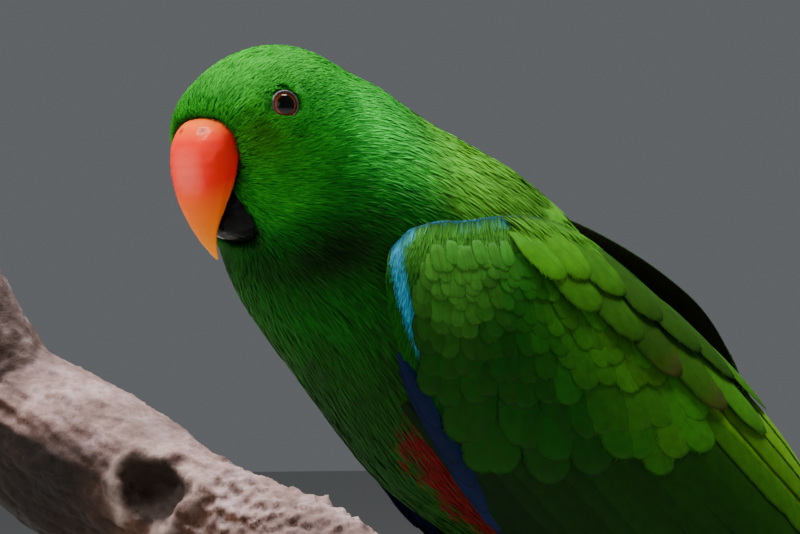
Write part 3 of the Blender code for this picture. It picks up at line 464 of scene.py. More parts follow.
def body_colour(points, rng=None):
    """Markings of the head, neck and body, with painted light and shade where noted. With random draws the
    flank's red stays in single feathers.
    """
    along, up, side = in_body(points)
    forward, left, crown = in_head(points)
    colour = np.tile(NECK_GREEN, (len(points), 1))

    def paint(target, share):
        nonlocal colour
        colour = mix(colour, target, np.clip(share, 0.0, 1.0)[:, None])

    on_head = 1.0 - smooth((along + 52.0) / 22.0)
    paint(BREAST_GREEN, smooth((along + 30.0) / 40.0) * smooth((-up + 8.0) / 25.0))
    paint(BACK_GREEN, smooth((along + 50.0) / 40.0) * smooth((up - 6.0) / 20.0))
    paint(BELLY_GREEN, smooth((along - 55.0) / 40.0) * smooth((-up + 5.0) / 20.0))
    paint(EMERALD, on_head)
    # Painted highlight on the crown and forehead
    paint(LIT_CROWN_GREEN, on_head * smooth((crown - 12.0) / 16.0) * 0.7)
    lores = -(((forward - 20.0) / 8.0) ** 2) - ((crown - 10.0) / 8.0) ** 2
    paint(LORE_GREEN, np.exp(lores - ((abs(left) - 17.0) / 9.0) ** 2))
    nape = np.exp(-(((forward + 14.0) / 13.0) ** 2) - ((crown - 2.0) / 14.0) ** 2)
    paint(TEAL_GREEN, nape * 0.8 * smooth((abs(left) - 10.0) / 8.0))
    # Painted shade under the head and bill, on the throat
    throat = np.exp(-(((forward - 12.0) / 11.0) ** 2) - ((crown + 24.0) / 8.0) ** 2)
    paint(BREAST_GREEN * 0.3, throat)
    rim = read_table(WING_STATIONS, np.clip(along, WING_START, WING_END))[:, 0]
    below = rim - up
    flank = smooth((along - 12.0) / 14.0) * (1.0 - smooth((along - 88.0) / 20.0))
    band = smooth((below + 9.0) / 4.0) * (1.0 - smooth((below - 4.0) / 6.0))
    flank *= band * smooth((abs(side) - 10.0) / 8.0)
    single = flank if rng is None else smooth((flank - rng.random(len(points))) / 0.15 + 0.5)
    paint(FLANK_RED, single * smooth(flank / 0.12))
    yellow = smooth((along - 66.0) / 12.0) * flank * smooth((below - 2.0) / 4.0)
    paint(YELLOW_TIP, yellow * 0.7)
    # Painted light on the back of the head and neck and painted shade across the fore mantle, on the upper
    # side only
    tone = 1.0 + 0.30 * np.exp(-(((along + 24.0) / 10.0) ** 2))
    tone = tone - 0.42 * np.exp(-(((along - 1.0) / 11.0) ** 2))
    return colour * mix(1.0, tone, smooth((up - 14.0) / 14.0))[:, None]


def lie_of_coat(points, normals):
    """Way in which the feathers of the head and body point."""
    bill = head_point(34.0, 0.0, 4.0)
    away = points - bill
    far = np.linalg.norm(away, axis=1, keepdims=True)
    along, up, _ = in_body(points)
    droop = smooth((-up + 10.0) / 40.0) * smooth((along + 60.0) / 40.0)
    droop = droop * (1.0 - smooth((along - 20.0) / 50.0))
    back = unit(BACKWARD + np.outer(droop * 0.35, -UP))
    way = mix(away / far, back, smooth((far - 34.0) / 50.0))
    way -= normals * np.sum(way * normals, axis=1, keepdims=True)
    return unit(way)


def sample_surface(points, triangles, density, rng):
    """Random places on a surface, more of them where the density is higher."""
    a, b, c = (points[triangles[:, k]] for k in range(3))
    area = np.linalg.norm(np.cross(b - a, c - a), axis=1) / 2.0
    centre = (a + b + c) / 3.0
    wanted = area * density(centre)
    count = int(wanted.sum())
    picks = rng.choice(len(triangles), size=count, p=wanted / wanted.sum())
    u = np.sqrt(rng.random(count))[:, None]
    v = rng.random(count)[:, None]
    return a[picks] * (1 - u) + b[picks] * u * (1 - v) + c[picks] * u * v, picks


def scatter(points, triangles, density, rng):
    """Random roots on a surface, with the flat normals of their triangles."""
    roots, picks = sample_surface(points, triangles, density, rng)
    corner = points[triangles[picks]]
    return roots, unit(np.cross(corner[:, 1] - corner[:, 0], corner[:, 2] - corner[:, 0]))


def surface_tree(points, triangles):
    return BVHTree.FromPolygons([Vector(p) for p in points], [tuple(int(v) for v in t) for t in triangles])


def along_surface(way, normals):
    """A way laid flat on a surface at many places."""
    return unit(way - normals * (normals @ way)[:, None])


def snap(tree, places):
    """Nearest points and normals of a surface."""
    near = np.empty_like(places)
    normals = np.empty_like(places)
    for i, p in enumerate(places):
        spot, normal, _, _ = tree.find_nearest(p)
        near[i] = spot
        normals[i] = normal
    return near, normals


def grow_tufts(roots, normals, way, length, width, lift, tree, rng, clump=0.4, clump_size=3.0):
    """Narrow curved blades along a surface: points, triangles and place along each blade."""
    count = len(roots)
    spread = rng.normal(0.0, 0.10, count)[:, None]
    side = np.cross(normals, way)
    way = unit(way + side * spread)
    ends = roots + way * length[:, None]
    if clump > 0.0:
        centres = roots[rng.random(count) < 1.0 / (clump_size**2)]
        if len(centres) > 3:
            index = KDTree(len(centres))
            for i, c in enumerate(centres):
                index.insert(c, i)
            index.balance()
            chosen = np.array([index.find(r)[1] for r in roots])
            target = centres[chosen] + way * length[:, None]
            ends = mix(ends, target, clump * rng.random(count)[:, None] * 1.3)
    middle = (roots + ends) / 2.0
    ends_on, end_normals = snap(tree, ends)
    middle_on, middle_normals = snap(tree, middle)
    tip = ends_on + end_normals * lift[:, None]
    mid = middle_on + middle_normals * (lift * 0.75)[:, None]
    root = roots - normals * 0.25
    side = unit(np.cross(normals, unit(tip - root)))
    tilt = rng.normal(0.0, 0.22, count)[:, None]
    side = unit(side + normals * tilt)
    places = np.linspace(0.0, 1.0, TUFT_ROWS)
    profile = np.interp(places, (0.0, 0.35, 0.7, 1.0), (0.55, 1.0, 0.72, 0.0))
    blocks = []
    for t, half in zip(places, profile):
        spot = root * (2 * t * t - 3 * t + 1) + mid * (4 * t - 4 * t * t) + tip * (2 * t * t - t)
        if t < 1.0:
            blocks.append(spot - side * (width * half / 2)[:, None])
            blocks.append(spot + side * (width * half / 2)[:, None])
        else:
            blocks.append(spot)
    verts = np.stack(blocks, 1)
    per = verts.shape[1]
    local = []
    for k in range(TUFT_ROWS - 2):
        a = 2 * k
        local += [(a, a + 1, a + 3), (a, a + 3, a + 2)]
    local.append((per - 3, per - 2, per - 1))
    faces = (np.arange(count)[:, None, None] * per + np.array(local)[None]).reshape(-1, 3)
    t_values = np.tile(np.append(np.repeat(places[:-1], 2), 1.0), count)
    return verts.reshape(-1, 3), faces, t_values, per


def patch_uv(root_uv):
    """Small patch of the bake map for each tuft, at its root's place."""
    places = np.linspace(0.0, 1.0, TUFT_ROWS)
    local = np.array([(s, t) for t in places[:-1] for s in (-0.5, 0.5)] + [(0.0, 1.0)]) * BAKE_PATCH
    return (np.clip(root_uv, 0.002, 0.995)[:, None, :] + local[None]).reshape(-1, 2)


def body_unwrap(points):
    """Unwrap of the body's skin round its own axis, for the bake map."""
    along, up, side = in_body(points)
    angle = np.arctan2(side, up) / (2 * math.pi) + 0.5
    return np.stack((angle, (along + 82.0) / 235.0), 1)


def coat_pieces(name, roots, normals, way, length, width, lift, tint, tree, rng, unwrap, **options):
    """Coat in pieces of at most COAT_PIECE_LIMIT tufts each. Coat in pieces that stay
    under the limit of triangles.
    """
    parts = max(1, math.ceil(len(roots) / COAT_PIECE_LIMIT))
    order = np.argsort(in_body(roots)[0], kind="stable")
    for part, chosen in enumerate(np.array_split(order, parts), 1):
        verts, faces, t_values, per = grow_tufts(
            roots[chosen], normals[chosen], way[chosen], length[chosen], width[chosen], lift[chosen],
            tree, rng, **options)
        attributes = {"tint": np.repeat(tint[chosen], per, axis=0), "tip": t_values}
        full = name if parts == 1 else f"{name}_{part}"
        bake = patch_uv(unwrap(roots[chosen]))
        make_mesh(full, verts, faces, MATERIALS["coat"], bake, attributes)


def varied(colour, rng, amount=0.16):
    """Colour with a random shade and a small shift of hue for each feather."""
    shade = np.exp(rng.normal(0.0, amount, len(colour)))[:, None]
    shift = rng.normal(0.0, amount * 0.35, (len(colour), 3))
    return np.clip(colour * shade * (1.0 + shift), 0.0, 1.0)


def shades(colour, count, rng, amount=0.16):
    """Random shades of one colour."""
    return varied(np.tile(colour, (count, 1)), rng, amount)


def coat_material():
    s = Shader("small_feathers")
    tip = s.read("tip")
    shade = s.ramp(tip, ((0.0, 0.30), (0.45, 0.85), (1.0, 1.25)))
    colour = s.blend(1.0, s.read("tint", True), shade, "MULTIPLY")
    s.set(Base_Color=colour, Roughness=0.60, Specular_IOR_Level=0.07)
    return s.material


def skin_material():
    s = Shader("skin_under_feathers")
    streak = s.noise(900.0, 2.0)
    shade = s.ramp(streak, ((0.3, 0.35), (0.7, 0.75)))
    colour = s.blend(1.0, s.read("tint", True), shade, "MULTIPLY")
    s.set(Base_Color=colour, Roughness=0.7, Specular_IOR_Level=0.05)
    s.bump(streak, 0.4, 0.0004)
    return s.material


def vane_material():
    """Feather vane: barbs slanting from the shaft, painted shade along the hem where feathers overlap, and
    a fine shaft.
    """
    s = Shader("feather_vane")
    across = s.read("across")
    along = s.read("along_mm")
    half = s.read("half_mm")
    offset = s.maths("ABSOLUTE", s.maths("MULTIPLY", across, half))
    slant = s.maths("SUBTRACT", along, s.maths("MULTIPLY", offset, 1.15))
    waver = s.noise(260.0, 2.0)
    phase = s.maths("ADD", s.maths("MULTIPLY", slant, 11.0), s.maths("MULTIPLY", waver, 9.0))
    barb = s.maths("MULTIPLY_ADD", s.maths("SINE", phase), 0.5, 0.5)
    broad = s.noise(340.0, 2.0)
    shade = s.maths("MULTIPLY_ADD", barb, 0.20, 0.82)
    shade = s.maths("MULTIPLY", shade, s.maths("MULTIPLY_ADD", broad, 0.7, 0.65))
    shaft = s.maths("LESS_THAN", offset, 0.16)
    # Painted shade along the hem, for the gaps between overlapping feathers
    hem = s.ramp(s.read("hem"), ((0.68, 1.0), (0.97, 0.46)))
    colour = s.blend(1.0, s.read("tint", True), shade, "MULTIPLY")
    colour = s.blend(1.0, colour, hem, "MULTIPLY")
    colour = s.blend(s.maths("MULTIPLY", shaft, 0.22), colour, (0.02, 0.02, 0.01))
    s.set(Base_Color=colour, Roughness=0.55, Specular_IOR_Level=0.07)
    s.bump(barb, 0.22, 0.00015)
    return s.material


def make_vanes(name, feathers, place, tint, rng, rows=10, flat_tip=0.30, sink=0.9, camber=0.05, roll=-0.10,
               tip_tint=None, edge_tint=None, edge_from=0.3, fringe=26):
    """Broad feathers over a surface. A feather is root and tip (along, across), width and lift."""
    feathers = np.asarray(feathers, float)
    count = len(feathers)
    start, end = feathers[:, 0:2], feathers[:, 2:4]
    width, lift = feathers[:, 4], feathers[:, 5]
    way = end - start
    length = np.linalg.norm(way, axis=1)
    way = way / length[:, None]
    beside = np.stack((-way[:, 1], way[:, 0]), 1)
    t = 1.0 - (1.0 - np.linspace(0.0, 1.0, rows)) ** 1.5
    columns = VANE_COLUMNS
    s = np.linspace(-1.0, 1.0, columns)
    body = 0.22 + 0.78 * np.sin(np.minimum(t * 2.2, 1.0) * math.pi / 2)
    past = np.clip(t - (1.0 - flat_tip), 0.0, 1.0) / flat_tip
    tip = np.sqrt(np.clip(1.0 - past**2, 0.0, 1.0))
    profile = np.maximum(body * tip, 0.03)
    bend = rng.normal(0.0, 0.018, count)
    half = (width / 2)[:, None] * profile[None] * (1.0 + rng.normal(0.0, 0.03, (count, rows)))
    centre = start[:, None, :] + way[:, None, :] * (length[:, None] * t[None])[..., None]
    centre = centre + beside[:, None, :] * (bend[:, None] * length[:, None] * t[None] ** 2)[..., None]
    spot = centre[:, :, None, :] + beside[:, None, None, :] * (half[:, :, None] * s)[..., None]
    height = -sink + (lift + sink)[:, None] * np.sqrt(t)[None]
    height = height[:, :, None] + half[:, :, None] * (roll * s + camber * (1.0 - s**2) * 2)
    points = place(spot[..., 0], spot[..., 1], height)
    verts = points.reshape(-1, 3)
    per = rows * columns
    quads = grid_faces(rows, columns)
    faces = (np.arange(count)[:, None, None] * per + quads[None]).reshape(-1, 4)
    tint = np.asarray(tint, float)
    colours = np.repeat(tint, per, axis=0).reshape(count, rows, columns, 3)
    if tip_tint is not None:
        share = smooth((t - 0.72) / 0.24)[None, :, None, None]
        colours = mix(colours, np.asarray(tip_tint)[:, None, None, :], share)
    if edge_tint is not None:
        share = smooth((s - edge_from) / 0.5)[None, None, :, None]
        colours = mix(colours, np.asarray(edge_tint)[..., None, None, :], share)
    shape = (count, rows, columns)
    across = np.broadcast_to(s, shape)
    # Mask of the painted shade along each vane's hem
    hem = np.maximum(np.abs(across) ** 3, np.broadcast_to(t[None, :, None] ** 6, shape))
    along_mm = np.broadcast_to((length[:, None] * t[None])[:, :, None], shape)
    half_mm = np.broadcast_to(half[:, :, None], shape)
    cell, cells = bake_cells(count)
    local = np.stack(np.broadcast_arrays((s[None, :] + 1.0) / 2.0, t[:, None]), -1)
    local = local * 0.92 / cells + 0.04 / cells
    bake = (cell[:, None, None, :] + local[None]).reshape(-1, 2)
    attributes = {"tint": colours.reshape(-1, 3), "across": across.ravel(), "hem": hem.ravel(),
                  "along_mm": along_mm.ravel(), "half_mm": half_mm.ravel()}
    made = make_mesh(name, verts, faces, MATERIALS["vane"], bake, attributes)
    if fringe:
        make_fringe(name + "_fringe", points, colours, length, fringe, rng)
    return made


def bake_cells(count):
    """Corners of a square cell of the bake map for each feather, and how many stand side by side."""
    cells = math.ceil(math.sqrt(count))
    return np.stack((np.arange(count) % cells, np.arange(count) // cells), 1) / cells, cells


def make_fringe(name, points, colours, length, fringe, rng):
    """Loose barb ends along the hem of each vane."""
    count, rows, columns = points.shape[:3]
    first = rows // 3

    def round_hem(values, inset=0):
        return np.concatenate((values[:, first:, inset], values[:, first:, -1 - inset][:, ::-1]), 1)

    rim, inner, tone = round_hem(points), round_hem(points, 1), round_hem(colours)
    steps = rim.shape[1]
    place = np.sort(rng.random((count, fringe)) * (steps - 1.001), axis=1)
    low = place.astype(int)
    share = (place - low)[..., None]
    who = np.arange(count)[:, None]
    base = mix(rim[who, low], rim[who, low + 1], share)
    heart = mix(inner[who, low], inner[who, low + 1], share)
    out = unit(base - heart)
    lie = unit(points[:, -1, columns // 2] - points[:, rows // 3, columns // 2])[:, None, :]
    way = unit(out * 0.55 + lie * 0.9)
    reach = (0.036 * np.minimum(length, 22.0))[:, None] * (0.5 + rng.random((count, fringe)))
    wide = unit(np.cross(np.cross(out, lie), way)) * 0.16
    tip = base + way * reach[..., None]
    root = base - way * 0.8
    verts = np.stack((root - wide, root + wide, tip), 2).reshape(-1, 3)
    faces = np.arange(len(verts)).reshape(-1, 3)
    tint = np.repeat(mix(tone[who, low], tone[who, low + 1], share).reshape(-1, 3), 3, axis=0)
    tip_place = np.tile((0.5, 0.5, 0.9), count * fringe)
    cell, cells = bake_cells(count)
    patch = ((0.0, 0.0), (0.002, 0.0), (0.001, 0.003))
    bake = np.repeat(cell, fringe * 3, axis=0) + np.tile(patch, (count * fringe, 1))
    bake += np.repeat(np.tile(np.linspace(0.0, 0.9 / cells, fringe), count), 3)[:, None] * (1.0, 0.0)
    make_mesh(name, verts, faces, MATERIALS["coat"], bake, {"tint": tint, "tip": tip_place})


MATERIALS = {"coat": coat_material(), "skin": skin_material(), "vane": vane_material()}


def make_body_coat():
    """Skin over head, neck and torso, and the small feathers that cover it."""
    rng = np.random.default_rng(11)
    data = remeshed(("head", "neck", "torso"), SKIN_VOXEL, 6)
    points, normals, triangles = mesh_arrays(data)
    eye = [eye_frame(side)[0] for side in (1, -1)]
    near_eye = np.min([np.linalg.norm(points - e, axis=1) for e in eye], axis=0)
    depth = COAT_DEPTH * mix(0.35, 1.0, smooth((near_eye - 6.0) / 10.0))
    skin_points = points - normals * depth[:, None]
    quads = np.array([tuple(p.vertices) for p in data.polygons])
    skin = make_mesh("plumage_skin", skin_points, quads, MATERIALS["skin"],
                     body_unwrap(points), {"tint": body_colour(points) * 0.8})
    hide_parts("head", "neck", "torso")
    for side, label in ((1, "left"), (-1, "right")):
        ring, ring_normals, ring_faces = eye_surround(side)
        make_mesh("eye_surround_" + label, ring - ring_normals * 0.55, ring_faces, MATERIALS["skin"],
                  body_unwrap(ring), {"tint": body_colour(ring) * 0.8})
        ring_faces = ring_faces + len(points)
        triangles = np.concatenate((triangles, ring_faces[:, [0, 1, 2]], ring_faces[:, [0, 2, 3]]))
        points = np.concatenate((points, ring))
        normals = np.concatenate((normals, ring_normals))
    tree = surface_tree(points, triangles)
    bills = bill_tree()

    def density(centre):
        along, turn = on_wing(centre)
        on_head = 1.0 - smooth((along + 48.0) / 24.0)
        amount = mix(BODY_DENSITY, HEAD_DENSITY, on_head)
        low, high = wing_edges(np.clip(along, WING_START, WING_END))
        hidden = (along > -4) & (along < 140) & (turn > low + 0.28) & (turn < high - 0.30)
        near = np.min([np.linalg.norm(centre - e, axis=1) for e in eye], axis=0)
        amount = amount + EYE_EXTRA_DENSITY * np.exp(-(((near - 5.0) / 1.4) ** 2))
        return np.where(hidden, HIDDEN_DENSITY, amount)

    roots, picks = sample_surface(points, triangles, density, rng)
    root_normals = unit(normals[triangles[picks]].mean(axis=1))
    roots = roots - root_normals * COAT_DEPTH * 0.4
    way = lie_of_coat(roots, root_normals)
    eye_distance = np.min([np.linalg.norm(roots - e, axis=1) for e in eye], axis=0)
    bill_distance = np.array([bills.find_nearest(r)[3] for r in roots])
    length = read_table(TUFT_LENGTHS, in_body(roots)[0])[:, 0]
    near_eye = mix(0.42, 1.0, smooth((eye_distance - 6.0) / 10.0))
    length *= near_eye * mix(0.40, 1.0, smooth(bill_distance / 9.0))
    length *= rng.uniform(0.75, 1.2, len(roots))
    width = np.clip(length * 0.075, 0.22, 0.85) * rng.uniform(0.8, 1.25, len(roots))
    lift = np.clip(length * 0.09, 0.20, 1.05) * rng.uniform(0.4, 1.3, len(roots))
    level = np.linalg.norm(np.stack(in_head(roots), 1) / HEAD_RADII, axis=1)
    keep = (eye_distance > EYE_OPENING + 0.45) & (bill_distance > 0.35)
    keep &= (eye_distance > 9.0) | (level > 0.955)
    tint = varied(body_colour(roots, rng), rng)
    tint *= (1.0 + 0.28 * noise_at(roots, 0.16))[:, None]
    # Painted shade where the feathers meet the bill
    tint *= mix(0.30, 1.0, smooth(bill_distance / 2.2))[:, None]
    coat_pieces("coat_body", roots[keep], root_normals[keep], way[keep], length[keep], width[keep],
                lift[keep], tint[keep], tree, rng, body_unwrap, clump=0.45)


def eye_surround(side):
    """Ring on the head's surface that closes the hollow round an eyeball."""
    place, look = eye_frame(side)
    verts, faces = ring_of(place, look, [(reach, 0.0) for reach in np.linspace(3.9, 6.4, 6)], 72)
    local = unit(np.stack(in_head(verts), 1) / HEAD_RADII)
    forward, left, crown = (local * HEAD_RADII).T[..., None]
    ring = head_point(forward, left, crown)
    forward, left, crown = (local / HEAD_RADII).T[..., None]
    return ring, unit(FORWARD * forward + LEFT * left + CROWN * crown), faces


def bill_tree():
    """Search tree over both halves of the bill."""
    points = []
    faces = []
    for name in ("bill_upper", "bill_lower"):
        data = NODES[name].data
        faces += [tuple(len(points) + v for v in p.vertices) for p in data.polygons]
        points += [Vector(p) for p in mesh_arrays(data)[0]]
    return BVHTree.FromPolygons(points, faces)


def wing_unwrap(points):
    """Unwrap of a wing's base, for the bake map."""
    return np.stack(((points @ UP - 40.0) / 260.0, (in_body(points)[0] + 20.0) / 190.0), 1)


def wing_grid(side, lift, rows, columns, depth):
    """Closed base of a folded wing under its feathers."""
    t = np.linspace(0.0, 1.0, rows)
    along = (WING_START + (WING_END - WING_START) * t**1.2)[:, None]
    s = np.linspace(-1.0, 1.0, columns)[None, :]
    low, high = wing_edges(along)
    turn = low + (high - low) * (s + 1.0) / 2.0
    up, out = wing_section(along, turn, lift)
    reach = np.hypot(up, out)
    floor = np.where(along > RUMP, 0.0, body_radius(np.minimum(along, RUMP), np.arctan2(up, out)) + 0.6)
    thick = read_table(WING_STATIONS, along)[..., 4] * np.sqrt(1.0 - np.abs(s) ** 3)
    thick = np.maximum(thick - depth, 0.4)
    outer = np.maximum(reach - depth, floor + 0.5)
    inner = np.maximum(outer - thick, floor)
    way = np.stack(np.broadcast_arrays(up / reach, out / reach), -1)
    grids = []
    for distance in (outer, inner):
        up, out = way[..., 0] * distance, side * way[..., 1] * distance
        grids.append(body_point(along + 0 * distance, up, out))
    return grids


def rim_distance(along, turn):
    """Distance in millimetres from places on a folded wing to the curve of its front rim."""
    line = np.concatenate((np.linspace(WING_START, 4.0, 60), np.linspace(4.5, 60.0, 40)))
    low, high = wing_edges(line)
    rim_along = np.concatenate((line, line, np.full(12, WING_START)))
    rim_turn = np.concatenate((low, high, np.linspace(low[0], high[0], 12))) * DORSAL_RADIUS
    best = np.full(len(along), 1e9)
    for a, t in zip(rim_along, rim_turn):
        best = np.minimum(best, np.hypot(along - a, turn * DORSAL_RADIUS - t))
    return best


def bend_blue(along, turn):
    """Share of blue at the bend of a folded wing."""
    rim = rim_distance(along, turn)
    wide = mix(1.9, 1.5, smooth((turn + 0.1) / 0.5))
    share = 1.0 - smooth((rim - wide * 0.55) / (wide * 0.9))
    upper_end = 1.0 - smooth((along - 12.0) / 10.0)
    lower_end = 1.0 - smooth((along - 13.0) / 8.0)
    return share * np.where(turn > 0, upper_end, lower_end)


def rows_of_coverts(rng):
    """Feathers in staggered rows square to the wing's lie."""
    lie = COVERT_LIE
    feathers = []
    for number, (down, start, end, count, length, width, lift) in enumerate(COVERT_ROWS):
        offset = 0.5 * (number % 2) / max(count - 1, 1)
        for i in range(count):
            across = start + (end - start) * ((i + rng.normal(0.0, 0.14)) / max(count - 1, 1) + offset)
            turn = lie + math.radians(26.0) * float(smooth(across / 60.0)) + rng.normal(0.0, 0.08)
            d = down + rng.normal(0.0, 0.07 * length)
            root = (d * math.cos(lie) - across * math.sin(lie), d * math.sin(lie) + across * math.cos(lie))
            reach = length * rng.uniform(0.9, 1.1)
            tip = (root[0] + reach * math.cos(turn), root[1] + reach * math.sin(turn))
            size = (width * rng.uniform(0.93, 1.10), lift + rng.uniform(-0.12, 0.12))
            feathers.append((*root, *tip, *size))
    return np.array(feathers)


def wing_colour(feathers, base, rng, amount=0.10):
    """Green of the wing's feathers, with painted shade low on the wing and painted light high on it, blue
    where they stand at its bend.
    """
    along, across = feathers[:, 0], feathers[:, 1]
    colour = np.tile(base, (len(feathers), 1))
    # Painted light and shade: feathers darker low on the wing and lighter high on it, as light falls from
    # above
    high = smooth(across / 30.0)[:, None]
    colour = colour * mix(0.42, 1.35, high)
    olive = smooth((along - 6.0) / 30.0)[:, None] * high
    colour = mix(colour, OLIVE * 1.25, olive * rng.uniform(0.4, 1.0, (len(feathers), 1)))
    front = ((1.0 - smooth((along + 2.0) / 20.0)) * smooth((across + 16.0) / 20.0))[:, None]
    colour = mix(colour, LESSER_GREEN, front * 0.85)
    return varied(colour, rng, amount)


# Feathers of a wing. Rows of coverts: distance down the lie, start, end, count, length, width, lift.
# Single feathers: root (along, across), tip (along, across), width, lift.
COVERT_LIE = math.radians(-43.0)
COVERT_RIM_GAP = 4.6
COVERT_ROWS = (
    (-15, 2, 11, 6, 7, 4.2, 0.8), (-12, -1, 15, 8, 8, 4.4, 0.8), (-9, -4, 18, 10, 8.5, 4.6, 0.85),
    (-6, -6, 21, 12, 9, 4.8, 0.85), (-3, -7, 24, 12, 9.5, 5.0, 0.9), (0, -8, 27, 12, 10, 5.4, 0.9),
    (3.5, -8.5, 32, 13, 11, 5.8, 0.95), (7, -9, 38, 13, 12, 6.4, 1.0), (11, -9, 45, 14, 13, 7.2, 1.05),
    (15.5, -8.5, 52, 14, 15, 8.2, 1.1), (21, -6, 58, 13, 17, 9.6, 1.2), (28, 0, 66, 12, 20, 11.4, 1.3),
    (36, 8, 71, 10, 23, 13.0, 1.45),
)
SCAPULARS = (
    (4, 24, 26, 24, 11, 2.6), (8, 32, 32, 31, 12, 2.7), (14, 27, 40, 25, 14, 2.4),
    (16, 38, 44, 36, 14, 2.7), (24, 33, 56, 30, 15, 2.5), (26, 44, 58, 42, 15, 2.8),
    (36, 36, 72, 32, 16, 2.5), (38, 48, 74, 46, 16, 2.8), (50, 40, 90, 36, 16, 2.6),
    (50, 54, 88, 52, 15, 2.9), (64, 47, 106, 44, 15, 2.7), (66, 60, 104, 58, 14, 2.9),
)
WORN_SCAPULARS = (6, 8)
TERTIALS = (
    (72, 30, 148, 36, 15, 1.9), (78, 40, 146, 45, 15, 2.2), (84, 50, 141, 53, 15, 2.4),
    (90, 60, 132, 62, 14, 2.5),
)
TERTIAL_SHARES = np.array(((0.1,), (0.35,), (0.75,), (1.0,)))
PRIMARY_COVERTS = (
    (10, -30.5, 42, -37.0, 5.5, 0.9), (16, -32.5, 50, -38.5, 6, 0.9), (23, -34.5, 59, -39.5, 6, 0.9),
    (31, -37.0, 66, -41.5, 5.5, 0.9), (40, -38.0, 76, -41.0, 5.5, 0.9), (6, -27.5, 30, -34.5, 4.5, 1.2),
)


def flight_feathers(count, first, last, reach):
    """Feathers that pass evenly from the first to the last, the middle ones longer."""
    feathers = []
    for i in range(count):
        t = i / (count - 1)
        row = [a + (b - a) * t for a, b in zip(first, last)]
        row[2] += reach * math.sin(math.pi * min(0.18 + t * 0.72, 1.0)) ** 1.2
        feathers.append(row)
    return np.array(feathers)


def wing_base(label, side, lift):
    """Closed base of a wing. Gives back the points and outward triangles of its outer face."""
    outer, inner = wing_grid(side, lift, 64, 30, 1.0)
    rows, columns = outer.shape[:2]
    size = rows * columns
    points = outer.reshape(-1, 3)
    verts = np.concatenate((points, inner.reshape(-1, 3)))
    top = grid_faces(rows, columns)
    index = np.arange(size).reshape(rows, columns)
    loop = np.concatenate((index[0], index[1:, -1], index[-1, -2::-1], index[-2:0:-1, 0]))
    after = np.roll(loop, -1)
    edge = np.stack((loop, loop + size, after + size, after), 1)
    faces = np.concatenate((top, top[:, ::-1] + size, edge))
    if side > 0:
        faces = faces[:, ::-1]
    blue = bend_blue(*on_wing(verts))
    tint = mix(COVERT_GREEN * 0.6, BEND_BLUE * 0.6, blue[:, None])
    tint[size:] = INNER_BROWN
    base = make_mesh("wing_base_" + label, verts, faces, MATERIALS["skin"], wing_unwrap(verts),
                     {"tint": tint})
    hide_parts("wing_" + label)
    triangles = np.concatenate((top[:, [0, 1, 2]], top[:, [0, 2, 3]]))
    corner = points[triangles]
    facing = np.cross(corner[:, 1] - corner[:, 0], corner[:, 2] - corner[:, 0])
    if np.sum(facing * from_axis(points)[triangles[:, 0]]) < 0:
        triangles = triangles[:, ::-1]
    return points, triangles


